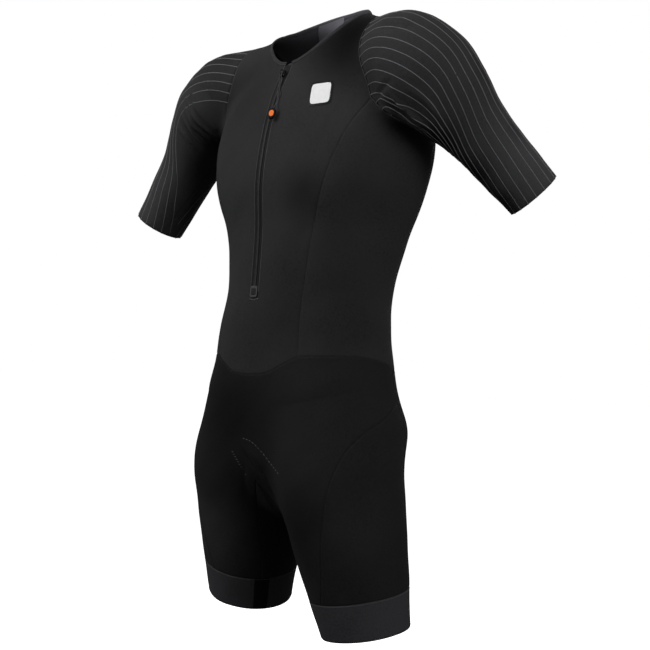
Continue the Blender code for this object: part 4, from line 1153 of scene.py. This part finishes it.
def zip_fastener(line):
    """Tapes, the coil's core and the row of teeth on each side."""
    edge = line["zip_edge"]
    middle = edge * [0, 1, 1]
    share = np.linspace(0, 1, 7)[None, :, None]
    pair("zip_tape_cloth", "woven_zip_tape", "zip_tape",
         middle[:, None] * (1 - share) + edge[:, None] * share, wall=TAPE_THICK, dip=.0002,
         reach=.001)
    run = middle[int(len(middle) * .035):-2]
    core = run[:, None] + np.linspace(-CORE_HALF, CORE_HALF, 5)[None, :, None] * [1, 0, 0]
    chain = shell("zip_coil_core", [core], wall=CORE_THICK, lift=CORE_LIFT, dip=.0002,
                  reach=.001, gap=0)
    finish(chain, "nylon_zip_coil", "suit", "zip_chain")
    for name, side in (("right", -1), ("left", 1)):
        column = laid_line(run + [TOOTH_ASIDE * side, 0, 0], TOOTH_LIFT)
        grown(f"zip_coil_{name}", [column], BEADS, "nylon_zip_coil", Turn=-TOOTH_TURN * side,
              **TOOTH)


def rounded(columns, rows, wide, tall, corner=7.0):
    """Places across and up a plate whose corners are rounded."""
    a, b = np.meshgrid(np.linspace(-1, 1, columns), np.linspace(1, -1, rows))
    r = np.maximum(np.maximum(np.abs(a), np.abs(b)), 1e-9)
    pull = (np.abs(a / r) ** corner + np.abs(b / r) ** corner) ** (-1 / corner)
    return a * pull * wide / 2, b * pull * tall / 2


def film(name, look, grid, lift, thick, *nodes):
    """A thin layer laid over the cloth."""
    return finish(shell(name, [grid], wall=thick, lift=lift + thick / 2, dip=thick * .3,
                        reach=.0006, gap=0), look, "suit", *nodes)


def badge():
    """A bare rounded patch on the left of the chest: a white film on a slightly larger black."""
    x, z = rounded(40, 32, BADGE_WIDE, BADGE_TALL)
    for name, look, share, lift, *node in (
            ("badge_edge", "black_transfer_film", 1.10, BADGE_LIFT, "chest_badge"),
            ("badge_face", "white_transfer_film", .91, BADGE_LIFT + .0002)):
        grid = in_front(BADGE_AT[0] + x * share, BADGE_AT[1] + z * share, -.09, (-.55, .80, .10))
        film(name, look, grid, FACE + lift, FILM, *node)


def label():
    """A woven label sewn inside the neck, with a stitch along each edge."""
    x, z = rounded(24, 20, LABEL_WIDE, LABEL_TALL, 14)
    start = x[..., None] * [.80, .60, LABEL_LEAN]
    start[..., 2] += LABEL_Z + LABEL_RAISED + z
    grid = cast(start, np.broadcast_to(unit([-.60, .80, 0]), start.shape))
    inside = -(BINDING_THICK / 2 + LINED + LABEL_THICK)
    made = shell("neck_label_cloth", [grid], wall=LABEL_THICK, lift=inside + LABEL_THICK / 2,
                 dip=.0001, reach=.001, gap=0)
    finish(made, "woven_label_satin", "suit", "neck_label")
    edge = np.concatenate([grid[1, 1:-1], grid[1:-1, -2], grid[-2, -2:0:-1], grid[-2:0:-1, 1]])
    stitch = stitched("neck_label_stitch", [laid_line(edge, inside - .0001)], Pitch=.0024,
                      Length=.0017, Width=.0005)
    cut(made, grid, with_pieces=[stitch])


def zip_guard():
    """A small flap behind the top of the zip, rounded where it shows above it."""
    a, b = np.meshgrid(np.linspace(-1, 1, 17), np.linspace(0, 1, 25))
    reach = np.minimum(1, np.sqrt(np.maximum(1 - np.clip(1 - b / .42, 0, 1) ** 2.2, .02)))
    grid = np.stack([a * reach * GUARD_WIDE / 2, np.full_like(a, -.09),
                     ZIP_TOP + GUARD_RISE - b * GUARD_LONG], -1)
    made = shell("zip_guard_flap", [put_in_front(grid)], wall=GUARD_THICK,
                 lift=-(FACE + LAID_ON + LINED + GUARD_THICK / 2), dip=.0003, reach=.0016, gap=0)
    cut(finish(made, "brushed_guard_knit", "suit", "zip_guard"), grid)


def zip_stop():
    """A pressed end patch: a pale frame, a dark middle, the slit's foot and a bar tack."""
    x, z = rounded(22, 22, STOP_WIDE, STOP_LONG, 5)
    top = ZIP_END + STOP_ABOVE
    for name, look, wide, tall, lift, *node in (
            ("zip_stop_frame", "pale_end_stop", 1, 1, STOP_LIFT, "zip_stop"),
            ("zip_stop_middle", "pressed_end_stop", .62, .60, STOP_LIFT + .0005)):
        grid = in_front(x * wide, top - STOP_LONG / 2 + z * tall)
        film(name, look, grid, FACE + lift, .0005, *node)
    a = np.linspace(-1, 1, 21)
    below = top - STOP_LONG - .0022 - .0016 * (1 - a ** 2)
    tack, slit = in_front(a * .0098, below), in_front(a * .0088, below + .0026)
    stitched("zip_bar_tack", [laid_line(tack, FACE + .0001)], Pitch=.0007, Length=.0006,
             Width=.0019, Height=.0008)
    grown("zip_stop_slit", [laid_line(slit, FACE - .0002)], RIDGES, "dark_thread", Radius=.0007)


class Zip:
    """The zip's middle line: places along it, across it and out from the cloth."""

    def __init__(self, line):
        self.middle = line["zip_edge"] * [0, 1, 1]
        self.out = outward(self.middle)
        self.way = along(self.middle) - SLIDER_DOWN

    def at(self, down, out):
        return drawn(down, self.way, self.middle + out * self.out)

    def place(self, points):
        """Points (across, down from the slider along the zip, out) where the suit hangs."""
        return posed(np.array([self.at(d, o) + [x, 0, 0] for x, d, o in points]))

    def stiff(self, points, down):
        """The same for a piece that keeps its shape, centred at that place along the zip."""
        lean = unit(self.at(down + .006, 0) - self.at(down - .006, 0))
        up = frontward(unit(np.cross([1, 0, 0], lean)))
        return posed(self.at(down, 0) + points @ np.array([[1, 0, 0], lean, up]))


def solid_of(name, rings):
    """A closed piece from rings of points, each joined to the next, with capped ends."""
    n = len(rings[0])
    rings = [np.tile(rings[0].mean(0), (n, 1)), *rings, np.tile(rings[-1].mean(0), (n, 1))]
    points = np.concatenate(rings)
    at = np.arange(len(rings) * n).reshape(-1, n)
    at[0], at[-1] = at[0, 0], at[-1, 0]
    faces = np.stack([at[:-1], np.roll(at[:-1], -1, 1), np.roll(at[1:], -1, 1), at[1:]],
                     -1).reshape(-1, 4)
    made = piece(name, points, faces)
    tidy = bmesh.new()
    tidy.from_mesh(made.data)
    bmesh.ops.delete(tidy, geom=[v for v in tidy.verts if not v.link_faces], context="VERTS")
    bmesh.ops.remove_doubles(tidy, verts=tidy.verts, dist=1e-7)
    bmesh.ops.recalc_face_normals(tidy, faces=tidy.faces)
    tidy.to_mesh(made.data)
    tidy.free()
    shade(made.data, 40)
    return made


def pebble(wide, long, thick, levels, square=.75, steps=48):
    """Rings of a flattened rounded block, from its bottom (-.5) to its top (.5)."""
    a = np.linspace(0, 2 * pi, steps, endpoint=False)
    ring = np.stack([np.sign(np.cos(a)) * np.abs(np.cos(a)) ** square * wide / 2,
                     np.sign(np.sin(a)) * np.abs(np.sin(a)) ** square * long / 2], 1)
    return [np.column_stack([ring * share, np.full(steps, h * thick)]) for h, share in levels]


def bow(down):
    """How far to the wearer's left the loop lies, this far down from the slider."""
    return float(np.interp(down, (.006, .020, CORD_LOOP, CORD_LOOP + CORD_TAIL),
                           (0, .0030, PULL_ACROSS * .8, PULL_ACROSS)))


def turned(points, turn):
    """Points turned about their own length, so that what faces out faces the wearer's left."""
    x, y, z = points.T
    return np.stack([x * cos(turn) + z * sin(turn), y, z * cos(turn) - x * sin(turn)], 1)


def hardware(line):
    """The slider with its bridge, and the pull: a corded loop, a moulded grip and its dot."""
    track = Zip(line)
    floor = .0005 + SEAM_GAP + CHAIN_THICK + SEAM_GAP
    roof = floor + SLIDER_THICK
    rise = roof + BRIDGE_RISE
    levels = [(-.5, .90), (-.44, .98), (-.3, 1), (.25, .99), (.42, .94), (.5, .84)]
    middle = np.array([0, 0, floor + SLIDER_THICK / 2])
    rings = [track.stiff(r * [1 - .16 * (r[0, 2] > 0), 1, 1] + middle, 0)
             for r in pebble(SLIDER_WIDE, SLIDER_LONG, SLIDER_THICK, levels, .42)]
    finish(solid_of("slider_body", rings), "painted_zinc_slider", "suit", "slider")
    arch = [(0, down, out) for down, out in (
        (-.0042, roof - .001), (-.0038, rise - .0016), (-.0030, rise - .0005), (-.0016, rise),
        (.0012, rise), (.0030, rise - .0006), (.0039, rise - .0020), (.0043, roof - .001))]
    cord("slider_bridge", track.place(curved(arch, 30)), "painted_zinc_slider", BRIDGE_WIRE / 2)
    pull(track, floor, roof, rise)


def pull(track, floor, roof, rise):
    """The loop passes under the bridge and lies down along the zip."""
    wire, apart = CORD_WIRE / 2, CORD_APART / 2
    eye, lie, far = (roof + rise - BRIDGE_WIRE) / 2 + .0001, floor + wire + .0002, CORD_LOOP
    rows = [(-.0004, eye), (.0055, eye), (.0090, lie + .0012), (.0130, lie + .0002)]
    rows += [(d, lie) for d in np.linspace(.017, far - .003, 6)]
    left = [(bow(d) - apart, d, o) for d, o in rows]
    right = [(bow(d) + apart, d, o) for d, o in rows[::-1]]
    loop = curved([(0, -.0010, eye), *left, (bow(far), far, lie), *right, (0, -.0010, eye)], 130)
    loop[:, 2] = np.maximum(loop[:, 2], lie)
    end, turn = far + CORD_TAIL, radians(GRIP_TURN)
    middle = floor + .0004 + GRIP_THICK / 2 * cos(turn) + GRIP_WIDE / 2 * sin(turn)
    tail = curved([(bow(d), d, o) for d, o in zip(
        np.linspace(far - .0010, end, 7), (lie, lie, lie, lie, *np.linspace(lie, middle, 4)[1:]))],
        40)
    cord("pull_cord_loop", track.place(loop), "braided_cord", wire, "pull_cord", body="pull")
    cord("pull_cord_tail", track.place(tail), "braided_cord", wire * 1.2, body="pull")
    centre, shift = end + SEAM_GAP + GRIP_LONG / 2, np.array([bow(end), 0, middle])
    raised = GRIP_THICK / 2 + DOT_THICK / 2 + .0001
    for name, look, node, up, sizes, square, steps, levels in (
            ("pull_grip_moulded", "moulded_rubber_grip", "pull_grip", 0,
             (GRIP_WIDE, GRIP_LONG, GRIP_THICK), .8, 48,
             [(-.5, .70), (-.47, .82), (-.38, .93), (-.2, .99), (0, 1), (.2, .99), (.38, .93),
              (.47, .84), (.5, .76), (.47, .70)]),
            ("pull_dot_inlay", "orange_rubber", "pull_dot", raised,
             (DOT_ACROSS, DOT_ACROSS * 1.35, DOT_THICK), 1.0, 32,
             [(-.5, .96), (-.3, 1), (.2, .98), (.42, .90), (.5, .74)])):
        rings = [track.stiff(turned(r + [0, 0, up], turn) + shift, centre)
                 for r in pebble(*sizes, levels, square, steps)]
        finish(solid_of(name, rings), look, "pull", node)


def sewing(line):
    """Welts and stitches that show along the seams."""
    aside, edge = (.2, -.1, -.3), line["zip_edge"]
    top, hem = (leg_ring(place, np.linspace(0, 360, 180))
                for place in (GRIP_TOP + GRIP_EDGE_IN, HEM - HEM_STITCH_IN))

    def welt(name, path, sunk, radius):
        # The welts' paler colour is a painted highlight along the folded edges.
        grown(name, both(path, FACE - sunk), RIDGES, "piped_welt", Radius=radius)

    def dark(name, path, amount=FACE, **sizes):
        stitched(name, both(path, amount), "dark_thread", **sizes)

    welt("zip_welts", beside(edge, WELT_IN, aside), .00035, .0007)
    dark("zip_topstitch", beside(edge, TOPSTITCH_IN, aside))
    welt("armhole_edges", beside(armhole(line), HOLE_EDGE_IN, (0, 0, -.10)), .00040, .0006)
    welt("gripper_edges", top, .00015, .0004)
    tack = even(np.stack([line["inseam"][-8], line["inseam"][-1], top[-32]]), 8)
    dark("inseam_tacks", tack, FACE - .0004, Pitch=.0008, Length=.0010, Width=.0030)
    dark("hem_stitches", hem)
    for name, *seams in (("waist", "waist_front", "waist_side", "waist_back"),
                         ("hip", "hip", "leg_front")):
        stitched(f"{name}_stitches", [row for part in seams for row in both(
            beside(line[part], SEAM_STITCH_IN, (.1, 0, -.9)), FACE)], "dark_thread")
    for name, points, sizes in (
            ("seat_pad_stitches", [(-.017, -.098, -.631), (.002, -.098, -.635),
                                   (.024, -.095, -.648), (.042, -.094, -.662),
                                   (.065, -.098, -.674)],
             {"Pitch": .0068, "Length": .0044, "Width": .0010}),
            ("seat_pad_tacks", [(-.044, -.096, -.653), (-.033, -.092, -.668),
                                (-.023, -.086, -.685)],
             {"Pitch": .0042, "Length": .0040, "Width": .0007, "Turn": 1.0})):
        stitched(name, [laid_line(curved(settle(points)), FACE)], **sizes)


def make_camera():
    azimuth, elevation, roll, away = radians(48.3), radians(-3.1), radians(3.3), 2.02
    aim = Vector((0, 0, -.44))
    back = Vector((sin(azimuth) * cos(elevation), -cos(azimuth) * cos(elevation),
                   sin(elevation)))
    level = (-back).cross(Vector((0, 0, 1))).normalized()
    upright = level.cross(-back)
    right = cos(roll) * level + sin(roll) * upright
    up = -sin(roll) * level + cos(roll) * upright
    data = bpy.data.cameras.new("camera")
    camera = in_scene("camera", data)
    place = Matrix((right, up, back)).transposed().to_4x4()
    place.translation = aim + back * away
    camera.matrix_world = place
    data.sensor_width, data.lens = 36, 72.3
    data.shift_x, data.shift_y = .0269, -.0131
    bpy.context.scene.camera = camera


def make_studio():
    """A pale floor, pale surroundings and large soft lamps."""
    bpy.context.scene.view_settings.view_transform = "Standard"
    world = bpy.data.worlds.new("studio")
    world.use_nodes = True
    bpy.context.scene.world = world
    # White where it is seen, and much dimmer, most of all from below, where it lights the suit.
    tree = world.node_tree
    way = add(tree, "ShaderNodeSeparateXYZ", inputs={
        0: add(tree, "ShaderNodeTexCoord").outputs["Generated"]})
    height = add(tree, "ShaderNodeMapRange", inputs={
        "Value": way.outputs[2], "From Min": -.6, "From Max": .6, "To Min": .05, "To Max": .24})
    strength = add(tree, "ShaderNodeMath", {"operation": "MAXIMUM"}, {
        0: add(tree, "ShaderNodeLightPath").outputs["Is Camera Ray"], 1: height})
    fill(tree, tree.nodes["Background"], {"Strength": strength, "Color": (1, 1, 1, 1)})
    mesh, far, down = bpy.data.meshes.new("floor"), 300, -1.3
    mesh.from_pydata([(-far, -far, down), (far, -far, down), (far, far, down), (-far, far, down)],
                     [], [(0, 1, 2, 3)])
    floor = in_scene("floor", mesh)
    # Matt white paint, faintly cloudy and never brighter than what surrounds it.
    tree, bsdf = blank("painted_floor")
    cloud = add(tree, "ShaderNodeTexNoise", inputs={"Scale": 3.0})
    paint = add(tree, "ShaderNodeMix", {"data_type": "RGBA"}, {
        "Factor": cloud, "A": linear("#F4F4F4"), "B": linear("#FAFAFA")}).outputs["Result"]
    fill(tree, bsdf, {"Base Color": paint, "Roughness": .9,
                      "Emission Strength": .9, "Emission Color": (1, 1, 1, 1),
                      "Specular IOR Level": 0})
    mesh.materials.append(bpy.data.materials["painted_floor"])
    floor.visible_diffuse = floor.visible_glossy = False
    for name, place, aim, size, power in (
            ("lamp_front", (-1.5, -2.1, .95), (0, 0, -.25), 1.4, 66),
            ("lamp_side", (2.6, -.5, .25), (.1, 0, -.3), 1.3, 38),
            ("lamp_back", (-1.4, 2.4, .8), (0, 0, -.4), 1.6, 22),
            ("lamp_top", (.25, -.75, 1.5), (0, .03, 0), .8, 10)):
        data = bpy.data.lights.new(name, "AREA")
        data.shape, data.size, data.energy = "SQUARE", size, power
        lamp = in_scene(name, data)
        lamp.location = place
        lamp.rotation_euler = (Vector(aim) - Vector(place)).to_track_quat("-Z", "Y").to_euler()


def main():
    frame["slot_of"] = {row["node"]: row["material_slot"] for row in frame["record"]["subparts"]}
    make_camera()
    make_studio()
    make_materials()
    make_beads_tree()
    make_ridges_tree()
    line = make_seams()
    bodice(line)
    sleeves(line)
    shorts(line)
    grippers()
    collar(line)
    zip_fastener(line)
    badge()
    label()
    zip_guard()
    zip_stop()
    hardware(line)
    sewing(line)


main()
